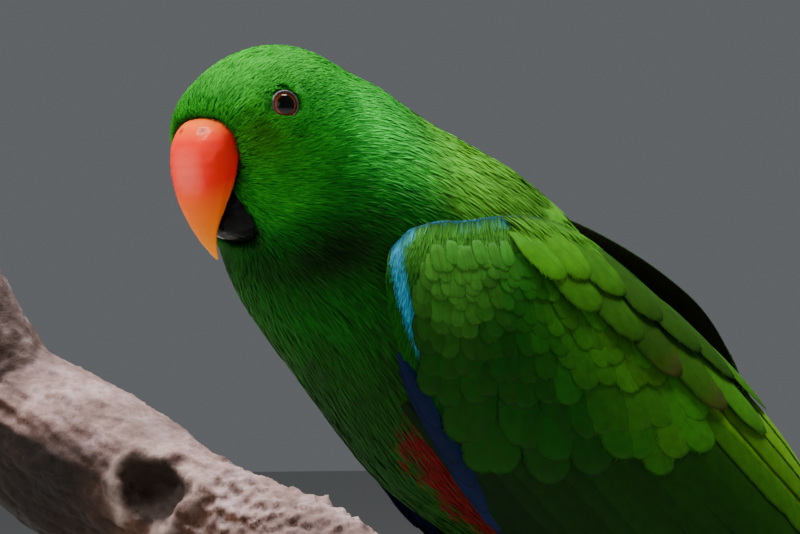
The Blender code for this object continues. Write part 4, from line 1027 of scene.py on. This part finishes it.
def make_wing(label, side, lift):
    """Folded wing: base, tiers of broad feathers, and small feathers at its bend and shoulder."""
    rng = np.random.default_rng(21 if side < 0 else 22)
    points, triangles = wing_base(label, side, lift)

    def place(a, c, h):
        return wing_point(a, c, h, side, lift)

    def tier(part, feathers, tint, **options):
        make_vanes(f"{part}_{label}", feathers, place, tint, rng, **options)

    primaries = flight_feathers(10, (30, -36, 207, -25, 9, 0.1), (66, -20, 174, 1, 11, 0.9), 26.0)
    navy = shades(mix(NAVY, DEEP_BLUE, 0.03), 10, rng, 0.1)
    tier("primaries", primaries, navy, rows=18, flat_tip=0.12, fringe=0)
    secondaries = flight_feathers(13, (18, -37, 150, -34, 13, 1.2), (62, 20, 152, 29, 14, 1.7), 14.0)
    # Painted shade: the lower secondaries darker, the higher ones lighter
    rise = np.linspace(0.0, 1.0, 13)[:, None]
    green = mix(COVERT_GREEN * 0.11, mix(COVERT_GREEN, OLIVE, 0.4) * 0.40, rise)
    tier("secondaries", secondaries, varied(green, rng, 0.08), rows=16, flat_tip=0.16)
    navy = shades(mix(NAVY, DEEP_BLUE, 0.06), len(PRIMARY_COVERTS), rng, 0.12)
    tier("primary_coverts", PRIMARY_COVERTS, navy, rows=12, edge_tint=DEEP_BLUE * 0.5, edge_from=0.76)
    coverts = rows_of_coverts(rng)
    turn = coverts[:, 1] / np.where(coverts[:, 1] > 0, DORSAL_RADIUS, VENTRAL_RADIUS)
    keep = turn < wing_edges(coverts[:, 0])[1] - 0.08
    keep &= rim_distance(coverts[:, 0], turn) > COVERT_RIM_GAP
    coverts = coverts[keep]
    tier("coverts", coverts, wing_colour(coverts, COVERT_GREEN, rng), roll=-0.06)
    green = mix(mix(COVERT_GREEN, OLIVE, 0.6) * 0.8, TERTIAL_GREEN, TERTIAL_SHARES)
    tier("tertials", TERTIALS, varied(green, rng, 0.06), rows=14, flat_tip=0.22,
         edge_tint=TERTIAL_GREEN * 1.3, edge_from=0.1)
    start = np.array(SCAPULARS)[:, :1]
    later = smooth((start - 4.0) / 26.0) * 0.9
    later *= 1.0 - 0.55 * smooth((start - 45.0) / 20.0)
    green = varied(mix(SCAPULAR_GREEN * 1.15, OLIVE * 0.5, later), rng, 0.08)
    tips = green * 0.8
    for worn in WORN_SCAPULARS:
        tips[worn] = mix(TIP_BROWN, OLIVE, 0.25)
    tier("scapulars", SCAPULARS, green, rows=12, flat_tip=0.34, tip_tint=tips, sink=1.4)

    tree = surface_tree(points, triangles)

    def bend_density(centre):
        along, turn = on_wing(centre)
        rim = rim_distance(along, turn)
        return BEND_DENSITY * (1.0 - smooth((along - 22.0) / 14.0)) * (1.0 - smooth((rim - 9.0) / 12.0))

    roots, flat = scatter(points, triangles, bend_density, rng)
    flat *= np.sign(np.sum(flat * from_axis(roots), axis=1, keepdims=True))
    way = along_surface(BACKWARD * 0.55 - DORSAL * 0.75, flat)
    length = rng.uniform(2.6, 4.8, len(roots))
    along, turn = on_wing(roots + way * (length * 0.7)[:, None])
    blue = bend_blue(along + rng.normal(0.0, 0.5, len(roots)), turn)
    blue = blue * rng.uniform(0.55, 1.0, len(roots))
    # Painted shade: bend feathers darker low on the wing, lighter high on it
    high = smooth((on_wing(roots)[1] * DORSAL_RADIUS + 14.0) / 20.0)[:, None]
    shade = mix(COVERT_GREEN * 0.6, LESSER_GREEN, high)
    tint = varied(mix(shade, BEND_BLUE, blue[:, None]), rng, 0.15)
    coat_pieces("coat_bend_" + label, roots + flat * 0.6, flat, way, length, length * 0.12, length * 0.16,
                tint, tree, rng, wing_unwrap, clump=0.3)

    def shoulder_density(centre):
        along, turn = on_wing(centre)
        high = smooth((turn * DORSAL_RADIUS - 25.0) / 7.0)
        return SHOULDER_DENSITY * high * (1.0 - smooth((along - 14.0) / 12.0))

    roots, flat = scatter(points, triangles, shoulder_density, rng)
    way = along_surface(BACKWARD - DORSAL * 0.12, flat)
    length = rng.uniform(6.0, 10.0, len(roots))
    share = smooth((in_body(roots)[0] + 4.0) / 24.0)[:, None] * rng.uniform(0.6, 1.0, (len(roots), 1))
    tint = varied(mix(BACK_GREEN, SCAPULAR_GREEN, share), rng, 0.14)
    high = 1.8 + rng.uniform(-0.5, 1.0, len(roots))
    coat_pieces("coat_shoulder_" + label, roots + flat * 0.9, flat, way, length, length * 0.085, high, tint,
                tree, rng, wing_unwrap, clump=0.5, clump_size=3.5)


def make_tail():
    """Twelve tail feathers with their coverts above and below."""
    rng = np.random.default_rng(31)
    root = body_point(*TAIL_ROOT, 0.0)
    tip = body_point(*TAIL_TIP, 0.0)
    way = unit(tip - root)
    normal = np.cross(SIDE, way)
    normal = normal * np.sign(normal[2])
    full = float(np.linalg.norm(tip - root))

    def place(along, across, height):
        arch = -1.6 * (across / 13.0) ** 2
        flat = root + way * along[..., None] + SIDE * across[..., None]
        return flat + normal * (arch + height)[..., None]

    feathers = []
    for i in range(6):
        t = i / 5
        for side in (-1, 1):
            reach = (full - 9.0 * t * t, side * (4.2 + 10.5 * t))
            feathers.append((2.0, side * (1.0 + 7.0 * t), *reach, 14.5, 2.5 - i))
    green = shades(mix(COVERT_GREEN, BACK_GREEN, 0.5), 12, rng, 0.07)
    tips = np.tile(mix(YELLOW_TIP, BACK_GREEN, 0.35), (12, 1))
    made = make_vanes("tail_feathers", feathers, place, green, rng, rows=18, flat_tip=0.10, sink=0.0,
                      roll=0.0, camber=0.03, tip_tint=tips)
    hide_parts("tail")
    yellow = mix(BACK_GREEN, YELLOW_TIP, 0.35)
    for name, colour, sign in (("above", BACK_GREEN, 1.0), ("below", yellow, -1.0)):
        rows = []
        for row, (start, length, count) in enumerate(TAIL_COVERT_ROWS):
            for i in range(count):
                across = (i - (count - 1) / 2) * 5.6
                high = (6.4 - row * 0.5) * 0.45 + 0.6
                rows.append((start, across, start + length, across * 1.1, 10.5, high * sign))

        def over(along, across, height, sign=sign):
            return place(along, across, height + 5.0 * sign * (1.0 - smooth(along / 48.0)))

        tint = shades(colour, len(rows), rng, 0.08)
        make_vanes("tail_coverts_" + name, rows, over, tint, rng, sink=0.0, roll=0.0, camber=0.05 * sign)


def grained(name, scale, detail, stops, strength, distance, **values):
    """Material whose colour and bumps follow one grain."""
    s = Shader(name)
    grain = s.noise(scale, detail)
    s.set(Base_Color=s.ramp(grain, stops), **values)
    s.bump(grain, strength, distance)
    return s.material


def upper_bill_material():
    """Orange at the bill's tip and root and coral between, with a painted highlight along its ridge."""
    upper = Shader("coral_bill")
    streak = upper.noise(90.0, 4.0, upper.stretch((1.0, 1.0, 0.25)), 0.6)
    base = upper.ramp(upper.read("height"), BILL_COLOURS)
    pale = upper.ramp(streak, ((0.52, 0.0), (0.72, 1.0)))
    colour = upper.blend(upper.maths("MULTIPLY", pale, 0.06), base, (0.90, 0.20, 0.08))
    # Painted highlight on the forward-facing ridge
    ridge = upper.ramp(upper.read("ridge"), ((0.45, 0.0), (0.98, 0.22)))
    colour = upper.blend(ridge, colour, (0.95, 0.36, 0.26))
    # Painted shade in the nostril openings
    colour = upper.blend(upper.read("pit"), colour, (0.06, 0.008, 0.004))
    fine = upper.noise(700.0, 3.0)
    gloss = upper.ramp(streak, ((0.3, 0.13), (0.75, 0.26)))
    upper.set(Base_Color=colour, Roughness=gloss, Specular_IOR_Level=0.03, Coat_Weight=0.03,
              Coat_Roughness=0.05)
    upper.bump(upper.blend(0.3, streak, fine), 0.12, 0.0003)
    return upper.material


def dressed(name, node, voxel, rounds, material, move=None, attributes=None):
    """Piece made from one remeshed node. Gives back the remeshed points, normals and triangles."""
    data = remeshed((node,), voxel * MM, rounds)
    points, normals, triangles = mesh_arrays(data)
    quads = np.array([tuple(p.vertices) for p in data.polygons])
    moved = move(points, normals) if move else points
    values = attributes(moved, normals) if attributes else None
    made = make_mesh(name, moved, quads, material, None, values)
    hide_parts(node)
    return points, normals, triangles


def bill_grid(table, square_edge, rows=110, sides=112):
    """Smooth closed horn of a bill: points and outward normals, row by row from root to tip."""
    numbered = np.column_stack((np.arange(len(table)), table))
    values = read_table(numbered, np.linspace(0.0, len(table) - 1.0, rows))
    ridge, edge, half = values[:, 0:2], values[:, 2:4], values[:, 4]
    angle = np.linspace(0.0, 2 * math.pi, sides, endpoint=False)
    sine, cosine = np.sin(angle), np.cos(angle)
    square = np.where(sine > 0, 1.0, square_edge)
    tall = np.sign(sine) * np.abs(sine) ** square
    wide = np.sign(cosine) * np.abs(cosine) ** (0.45 + 0.4 * square)
    flat = ((ridge + edge) / 2)[:, None] + ((ridge - edge) / 2)[:, None] * tall[None, :, None]
    aside = half[:, None] * wide[None]
    grid = HEAD_CENTRE + FORWARD * flat[..., :1] + LEFT * aside[..., None] + CROWN * flat[..., 1:]
    ends = [np.repeat(ring.mean(axis=0)[None], sides, axis=0) for ring in (grid[0], grid[-1])]
    grid = np.concatenate((ends[0][None], grid, ends[1][None]))
    down = np.gradient(grid, axis=0)
    round_ = np.roll(grid, -1, axis=1) - np.roll(grid, 1, axis=1)
    normals = unit(np.cross(down, round_))
    outward = np.sum(normals * (grid - grid.mean(axis=1, keepdims=True))) > 0
    faces = grid_faces(len(grid), sides, wrap=True)
    if outward:
        faces = faces[:, ::-1]
    else:
        normals = -normals
    return grid.reshape(-1, 3), normals.reshape(-1, 3), faces


def make_bills():
    points, normals, faces = bill_grid(UPPER_BILL, 0.5)
    tree = surface_tree(points, faces)
    # Nostril places, painted dark as shade in the openings and dimpled slightly
    pit = np.zeros(len(points))
    for side in (-1, 1):
        start = Vector(head_point(NOSTRIL_AHEAD, NOSTRIL_ASIDE * side, NOSTRIL_UP))
        place = np.array(tree.ray_cast(start, Vector(-unit(FORWARD + CROWN)))[0])
        pit = np.maximum(pit, np.exp(-((np.linalg.norm(points - place, axis=1) / 0.75) ** 2)))
    forward, _, up = in_head(points)
    # Painted highlight where the normals face forward along the upper bill
    ridge = np.clip(normals @ unit(FORWARD + CROWN * 0.15), 0.0, 1.0) ** 9
    ridge *= smooth((forward - 20.0) / 8.0) * smooth((up + 8.0) / 10.0) * smooth((17.0 - up) / 5.0)
    growth = 0.02 * np.sin(up * 2.1 + 0.8 * np.sin(forward * 0.5)) * smooth((forward - 22.0) / 6.0)
    worn = noise_at(points, 0.35, 3.0) * 0.10 + noise_at(points, 1.1, 8.0) * 0.03
    points = points + normals * (growth + worn - 0.1 * pit)[:, None]
    values = {"height": (up + 23.0) / 41.0, "ridge": ridge, "pit": pit}
    horn = make_mesh("bill_upper_horn", points, faces, upper_bill_material(), None, values)
    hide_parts("bill_upper")
    points, normals, faces = bill_grid(LOWER_BILL, 0.9, 70)
    points = points + normals * (noise_at(points, 0.4, 9.0) * 0.12)[:, None]
    black = grained("black_bill", 160.0, 4.0, ((0.4, (0.003, 0.003, 0.003)), (0.8, (0.012, 0.012, 0.013))),
                    0.2, 0.0004, Roughness=0.16, Specular_IOR_Level=0.05)
    horn = make_mesh("bill_lower_horn", points, faces, black)
    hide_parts("bill_lower")


def eye_frame(side):
    f, u = EYE_FORWARD / HEAD_RADII[0], EYE_UP / HEAD_RADII[2]
    left = HEAD_RADII[1] * math.sqrt(1.0 - f * f - u * u) * side
    look = FORWARD * math.sin(EYE_LOOK_FORWARD) + LEFT * side * math.cos(EYE_LOOK_FORWARD) + CROWN * 0.22
    return head_point(EYE_FORWARD, left, EYE_UP), unit(look)


def ring_of(centre, look, profile, steps, bumps=0.0, rng=None):
    """Surface turned round an axis. The profile is (radius, height) pairs."""
    across = unit(np.cross(look, UP))
    rise = np.cross(across, look)
    angle = np.linspace(0.0, 2 * math.pi, steps, endpoint=False)
    rows = []
    for number, (radius, height) in enumerate(profile):
        reach = np.full(steps, float(radius))
        if bumps and 0 < number < len(profile) - 1:
            reach += bumps * np.sin(angle * 22 + number * 1.5) + rng.normal(0.0, bumps * 0.4, steps)
        turned = np.outer(reach * np.cos(angle), across) + np.outer(reach * np.sin(angle), rise)
        rows.append(centre + look * height + turned)
    return np.concatenate(rows), grid_faces(len(profile), steps, wrap=True)


def make_eyes():
    rng = np.random.default_rng(41)
    eye = Shader("eye")
    streaks = eye.noise(2400.0, 2.0)
    base = eye.ramp(eye.read("turn"), EYE_COLOURS)
    streaked = eye.blend(1.0, base, eye.ramp(streaks, ((0.3, 0.5), (0.7, 1.4))), "MULTIPLY")
    eye.set(Base_Color=eye.blend(0.35, base, streaked), Roughness=0.04, Specular_IOR_Level=0.35)
    lid = grained("eye_ring_skin", 1500.0, 3.0, ((0.3, (0.030, 0.025, 0.026)), (0.75, (0.12, 0.10, 0.10))),
                  0.5, 0.0003, Roughness=0.5)
    depth = math.sqrt((EYE_RADIUS + LID_THICKNESS + 0.3) ** 2 - LID_RADIUS**2)
    for side, label in ((1, "left"), (-1, "right")):
        place, look = eye_frame(side)
        centre = place - look * depth
        polar = np.concatenate((np.linspace(0.0, 1.0, 41), np.linspace(1.08, math.pi, 14)))
        profile = [(EYE_RADIUS * math.sin(a) + 1e-4, EYE_RADIUS * math.cos(a)) for a in polar]
        verts, faces = ring_of(centre, look, profile, 48)
        visible = math.asin((EYE_OPENING + 0.1) / EYE_RADIUS)
        turn = np.clip(np.repeat(polar / visible, 48), 0, 1)
        ball = make_mesh("eyeball_" + label, verts, faces, eye.material, None, {"turn": turn})
        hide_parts("eye_" + label)
        lids = []
        for k in range(11):
            roll = -0.9 + k / 10 * (math.pi + 0.9)
            reach = EYE_OPENING + EYE_RING_WIDTH - EYE_RING_WIDTH * math.cos(roll)
            lids.append((reach, -0.15 + 0.55 * math.sin(roll)))
        verts, faces = ring_of(place, look, lids, 96, 0.045, rng)
        make_mesh("eyelid_" + label, verts, faces, lid)


def make_legs():
    rng = np.random.default_rng(51)
    skin = Shader("scaly_foot_skin")
    cells = skin.node("ShaderNodeTexVoronoi", {"Vector": skin.place(), "Scale": 850.0}, "Distance",
                      feature="DISTANCE_TO_EDGE")
    edge = skin.ramp(cells, ((0.0, 0.0), (0.22, 1.0)))
    tone = skin.noise(150.0, 3.0)
    colour = skin.ramp(tone, ((0.3, (0.045, 0.045, 0.048)), (0.75, (0.15, 0.145, 0.14))))
    colour = skin.blend(edge, (0.02, 0.02, 0.02), colour)
    skin.set(Base_Color=colour, Roughness=0.55)
    skin.bump(edge, 0.8, 0.0004)
    horn = grained("claw_horn", 300.0, 3.0, ((0.3, (0.008, 0.008, 0.009)), (0.8, (0.05, 0.048, 0.046))),
                   0.2, 0.0004, Roughness=0.3)

    def scutes(points, normals):
        rings = np.sin(points @ BRANCH_AHEAD * 2.6) * 0.14
        return points + normals * (rings + noise_at(points, 0.7, 5.0) * 0.12)[:, None]

    def leg_unwrap(points):
        return np.stack(((points[:, 0] + 30.0) / 60.0, (points[:, 2] - 100.0) / 70.0), 1)

    for label in ("left", "right"):
        dressed("foot_skin_" + label, "foot_" + label, 0.45, 3, skin.material, scutes)
        leg = dressed("leg_skin_" + label, "leg_" + label, 0.6, 3, skin.material)
        points, normals, triangles = leg
        low, top = points[:, 2].min(), points[:, 2].max()

        def density(centre, low=low, top=top):
            return THIGH_DENSITY * smooth((centre[:, 2] - (low + (top - low) * 0.34)) / 3.0)

        roots, picks = sample_surface(points, triangles, density, rng)
        root_normals = unit(normals[triangles[picks]].mean(axis=1))
        length = rng.uniform(5.0, 9.0, len(roots))
        tint = shades(BELLY_GREEN, len(roots), rng)
        coat_pieces("coat_thigh_" + label, roots, root_normals, along_surface(-UP, root_normals), length,
                    length * 0.12, length * 0.22, tint, surface_tree(points, triangles), rng, leg_unwrap)
        for number in range(1, 5):
            name = f"claw_{label}_{number}"
            dressed("horn_" + name, name, 0.3, 4, horn)


def branch_ways():
    ahead = np.array((-1.0, 0.0, 0.0))
    ahead = unit(ahead - BRANCH_WAY * (ahead @ BRANCH_WAY))
    rise = np.cross(BRANCH_WAY, ahead)
    return ahead, rise * np.sign(rise[2])


BRANCH_AHEAD, BRANCH_UP = branch_ways()


def make_perch():
    bark = Shader("bark")
    ridges = bark.noise(70.0, 6.0, bark.stretch((1.0, 1.0, 1.0)), 0.62)
    blotch = bark.noise(26.0, 4.0)
    fine = bark.noise(420.0, 5.0, None, 0.65)
    facing = bark.node("ShaderNodeSeparateXYZ", {0: bark.node("ShaderNodeNewGeometry", {}, 1)}, "Z")
    # Painted light and shade: up-facing bark takes the lit colours, the rest the shaded ones
    pale = bark.ramp(ridges, LIT_BARK)
    shaded_bark = bark.ramp(ridges, SHADED_BARK)
    lit = bark.ramp(bark.maths("MULTIPLY_ADD", facing, 0.5, 0.5), ((0.48, 0.0), (0.86, 1.0)))
    colour = bark.blend(lit, shaded_bark, pale)
    colour = bark.blend(bark.read("rim"), colour, (0.50, 0.37, 0.33))
    # The shade attribute is painted shade on the low limb and along the stub
    for value, stops in (
        (bark.read("shade"), ((0.0, 0.16), (1.0, 1.0))), (blotch, ((0.3, 0.62), (0.7, 1.15))),
        (fine, ((0.3, 0.70), (0.7, 1.12))),
    ):
        colour = bark.blend(1.0, colour, bark.ramp(value, stops), "MULTIPLY")
    # Painted shade inside the knot's hollow
    colour = bark.blend(bark.read("hollow"), colour, (0.020, 0.010, 0.007))
    rings = bark.maths("SINE", bark.maths("MULTIPLY", bark.read("ring"), 1.3))
    wood = bark.ramp(bark.maths("MULTIPLY_ADD", rings, 0.3, 0.5), HEART_WOOD)
    colour = bark.blend(bark.read("cut"), colour, wood)
    bark.set(Base_Color=colour, Roughness=0.82, Specular_IOR_Level=0.25)
    bark.bump(bark.blend(0.5, ridges, fine), 0.7, 0.0018)
    hollow_centre = branch_surface(KNOT_ALONG, KNOT_ANGLE, 1.0)
    stub_start = BRANCH_POINT + BRANCH_WAY * STUB_ALONG
    stub_way = BRANCH_UP * math.cos(STUB_LEAN) - BRANCH_WAY * math.sin(STUB_LEAN)

    def coordinates(points):
        local = points - BRANCH_POINT
        along = local @ BRANCH_WAY
        angle = np.arctan2(local @ BRANCH_AHEAD, local @ BRANCH_UP)
        radius = np.hypot(local @ BRANCH_AHEAD, local @ BRANCH_UP)
        return along, angle, radius

    def hollow_gap(points):
        """Distance from the middle of the knot's hole, made ragged."""
        return np.linalg.norm(points - hollow_centre, axis=1) + 2.4 * noise_at(points, 0.11, 2.0)

    def roughen(points, normals):
        along, angle, _ = coordinates(points)
        reach = (points - stub_start) @ stub_way
        ends = smooth((60.0 - along) / 3.0) * smooth((along + 217.0) / 3.0)
        ends = mix(ends, smooth((STUB_LENGTH - 1.0 - reach) / 3.0), smooth((reach - 14.0) / 6.0))
        feet = 1.0 - 0.85 * np.exp(-((along / 34.0) ** 2)) * smooth((np.cos(angle) + 0.5) / 0.5)
        flow = np.stack((along * 0.035, np.cos(angle) * 3.2, np.sin(angle) * 3.2), 1) / 0.3
        ridge = 1.0 - 2.0 * np.abs(noise_at(flow, 0.3, 1.0, 3))
        flake = noise_at(points, 0.22, 4.0, 3)
        flaky = np.exp(-(((along + 96.0) / 34.0) ** 2))
        amount = ridge * 0.55 + flake * (0.5 + 1.3 * flaky) - 0.5
        rim = 1.7 * np.exp(-(((hollow_gap(points) - 13.5) / 3.2) ** 2))
        rim = rim * (1.0 + 0.9 * noise_at(points, 0.09, 6.0))
        return points + normals * (amount * ends * feet + rim)[:, None]

    def values(points, normals):
        along, angle, radius = coordinates(points)
        gap = hollow_gap(points)
        # Mask of the painted shade inside the knot's hollow
        inside = (1.0 - smooth((gap - 9.0) / 4.0)) * (1.0 - smooth((radius - 21.0) / 3.0))
        facing = np.abs(normals @ BRANCH_WAY)
        reach = (points - stub_start) @ stub_way
        ends = np.maximum(smooth((along - 59.5) / 1.2), smooth((-214.0 - along) / 1.5))
        cut = smooth((facing - 0.8) / 0.12) * ends
        stub = smooth((reach - STUB_LENGTH + 1.4) / 0.8) * smooth((normals @ stub_way - 0.6) / 0.2)
        cut = np.maximum(cut, stub)
        rim = 0.75 * np.exp(-(((gap - 13.0) / 2.4) ** 2))
        rim = rim * smooth(0.55 + 1.3 * noise_at(points, 0.10, 6.0))
        # Painted shade on the down-facing side of the limb's far end and along the stub
        below = 1.0 - smooth((normals[:, 2] + 0.1) / 0.6)
        shade = 1.0 - (1.0 - smooth((along + 172.0) / 40.0)) * below
        shade *= 1.0 - 0.45 * smooth(reach / 24.0)
        return {"hollow": inside, "cut": cut, "ring": radius + 0.4 * np.sin(3 * angle), "rim": rim,
                "shade": np.maximum(shade, cut)}

    dressed("branch", "perch", 1.1, 3, bark.material, roughen, values)


def branch_surface(along, angle, height):
    way = BRANCH_UP * math.cos(angle) + BRANCH_AHEAD * math.sin(angle)
    return BRANCH_POINT + BRANCH_WAY * along + way * (BRANCH_RADIUS + height)


def lathe(profile, steps, centre=(0.0, 0.0)):
    angle = np.linspace(0.0, 2 * math.pi, steps, endpoint=False)
    rows = [np.stack((radius * np.cos(angle) + centre[0], radius * np.sin(angle) + centre[1],
                      np.full(steps, float(height))), 1) for radius, height in profile]
    return np.concatenate(rows), grid_faces(len(profile), steps, wrap=True)[:, ::-1]


def make_stand():
    wood = Shader("stained_wood")
    grain = wood.noise(34.0, 5.0, wood.stretch((1.0, 7.0, 1.0)), 0.6)
    pores = wood.noise(300.0, 3.0, wood.stretch((0.3, 3.0, 1.0)))
    colour = wood.ramp(grain, STAINED_WOOD)
    wood.set(Base_Color=colour, Roughness=0.38, Coat_Weight=0.2, Coat_Roughness=0.25)
    wood.bump(pores, 0.15, 0.0005)
    steel = Shader("brushed_steel")
    brushed = steel.noise(120.0, 3.0, steel.stretch((8.0, 8.0, 0.3)))
    steel.set(Base_Color=(0.55, 0.55, 0.56, 1.0), Metallic=1.0,
              Roughness=steel.ramp(brushed, ((0.3, 0.22), (0.7, 0.38))))
    steel.bump(brushed, 0.08, 0.0002)
    out, top = BASE_RADIUS - BASE_ROUNDING, BASE_HEIGHT - BASE_ROUNDING
    turns = np.linspace(0, math.pi / 2, 9)
    rim = [(out + BASE_ROUNDING * math.sin(a), top + BASE_ROUNDING * math.cos(a)) for a in turns]
    profile = [(0.01, BASE_HEIGHT), (30.0, BASE_HEIGHT), (60.0, BASE_HEIGHT)] + rim
    profile += [(BASE_RADIUS, 1.0), (BASE_RADIUS - 0.8, 0.0), (60.0, 0.0), (0.01, 0.0)]
    verts, faces = lathe(profile, 128)
    base = make_mesh("display_base", verts, faces, wood.material)
    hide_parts("stand_base")
    low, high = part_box("stand_rod")
    centre = ((low[0] + high[0]) / 2 / MM, (low[1] + high[1]) / 2 / MM)
    dressed("rod", "stand_rod", 0.5, 2, steel.material)
    verts, faces = lathe([(radius, BASE_HEIGHT + height) for radius, height in COLLAR], 64, centre)
    make_mesh("rod_collar", verts, faces[:, ::-1], steel.material)


def make_mantle():
    """Rows of soft feathers over the back between the wings, which overlap the wings' upper edges."""
    rng = np.random.default_rng(61)
    feathers = []
    for row in range(MANTLE_ROWS):
        along = MANTLE_START + row * MANTLE_STEP
        reach = float(np.interp(row, (0, 3, 8, 14), (26.0, 30.0, 24.0, 15.0)))
        count = max(3, int(reach * 2 / 5.0))
        for i in range(count):
            across = -reach + 2 * reach * (i + 0.5 * (row % 2) + rng.normal(0.0, 0.12)) / count
            size = float(np.interp(row, (0, 14), (0.75, 1.15)))
            start = along + rng.normal(0.0, 1.2)
            feathers.append((start, across, start + 18.0 * size, across * 0.97, 8.5 * size,
                             0.8 + rng.uniform(0.0, 0.6)))
    feathers = np.array(feathers)

    def place(along, across, height):
        angle = math.pi / 2 - across / 42.0
        reach = body_radius(along, angle) + height
        return body_point(along, reach * np.sin(angle), reach * np.cos(angle))

    tint = shades(BACK_GREEN, len(feathers), rng, 0.1)
    make_vanes("mantle", feathers, place, tint, rng, flat_tip=0.4, roll=0.0, sink=0.6)


def make_studio():
    floor_mat = Shader("pale_floor")
    floor_mat.set(Base_Color=(0.52, 0.52, 0.50, 1.0), Roughness=0.8)
    mesh = bpy.data.meshes.new("floor")
    corners = ((-1, -1), (1, -1), (1, 1), (-1, 1))
    mesh.from_pydata([(FLOOR_HALF * x, FLOOR_HALF * y, -0.0005) for x, y in corners], [], [(0, 1, 2, 3)])
    mesh.materials.append(floor_mat.material)
    floor = bpy.data.objects.new("floor", mesh)
    bpy.context.scene.collection.objects.link(floor)
    for name, place, target, size, power, colour in LIGHTS:
        light = bpy.data.lights.new(name, "AREA")
        light.shape = "DISK"
        light.size = size
        light.energy = power
        light.color = colour
        lamp = bpy.data.objects.new(name, light)
        lamp.location = place
        lamp.rotation_euler = (Vector(target) - Vector(place)).to_track_quat("-Z", "Y").to_euler()
        bpy.context.scene.collection.objects.link(lamp)
    world = bpy.data.worlds.new("studio")
    bpy.context.scene.world = world
    world.use_nodes = True
    world.node_tree.nodes["Background"].inputs[0].default_value = SKY_COLOUR
    world.node_tree.nodes["Background"].inputs[1].default_value = SKY_STRENGTH


def make_camera():
    """Camera at the photograph's angle, level, its lens set for a frame FRAME_WIDTH wide at the target."""
    target = Vector(CAMERA_TARGET)
    away = Vector((math.sin(CAMERA_AZIMUTH), -math.cos(CAMERA_AZIMUTH), 0.0))
    lens = bpy.data.cameras.new("camera")
    lens.sensor_width = SENSOR_WIDTH
    lens.lens = SENSOR_WIDTH * CAMERA_DISTANCE / FRAME_WIDTH
    lens.clip_start = 0.01
    camera = bpy.data.objects.new("camera", lens)
    camera.location = target + away * CAMERA_DISTANCE
    camera.rotation_euler = (-away).to_track_quat("-Z", "Y").to_euler()
    bpy.context.scene.collection.objects.link(camera)
    bpy.context.scene.camera = camera


make_body_coat()
for wing_label, wing_side, wing_lift in (("left", -1, 0.0), ("right", 1, FAR_WING_LIFT)):
    make_wing(wing_label, wing_side, wing_lift)
make_mantle()
make_tail()
make_bills()
make_eyes()
make_legs()
make_perch()
make_stand()
make_studio()
make_camera()
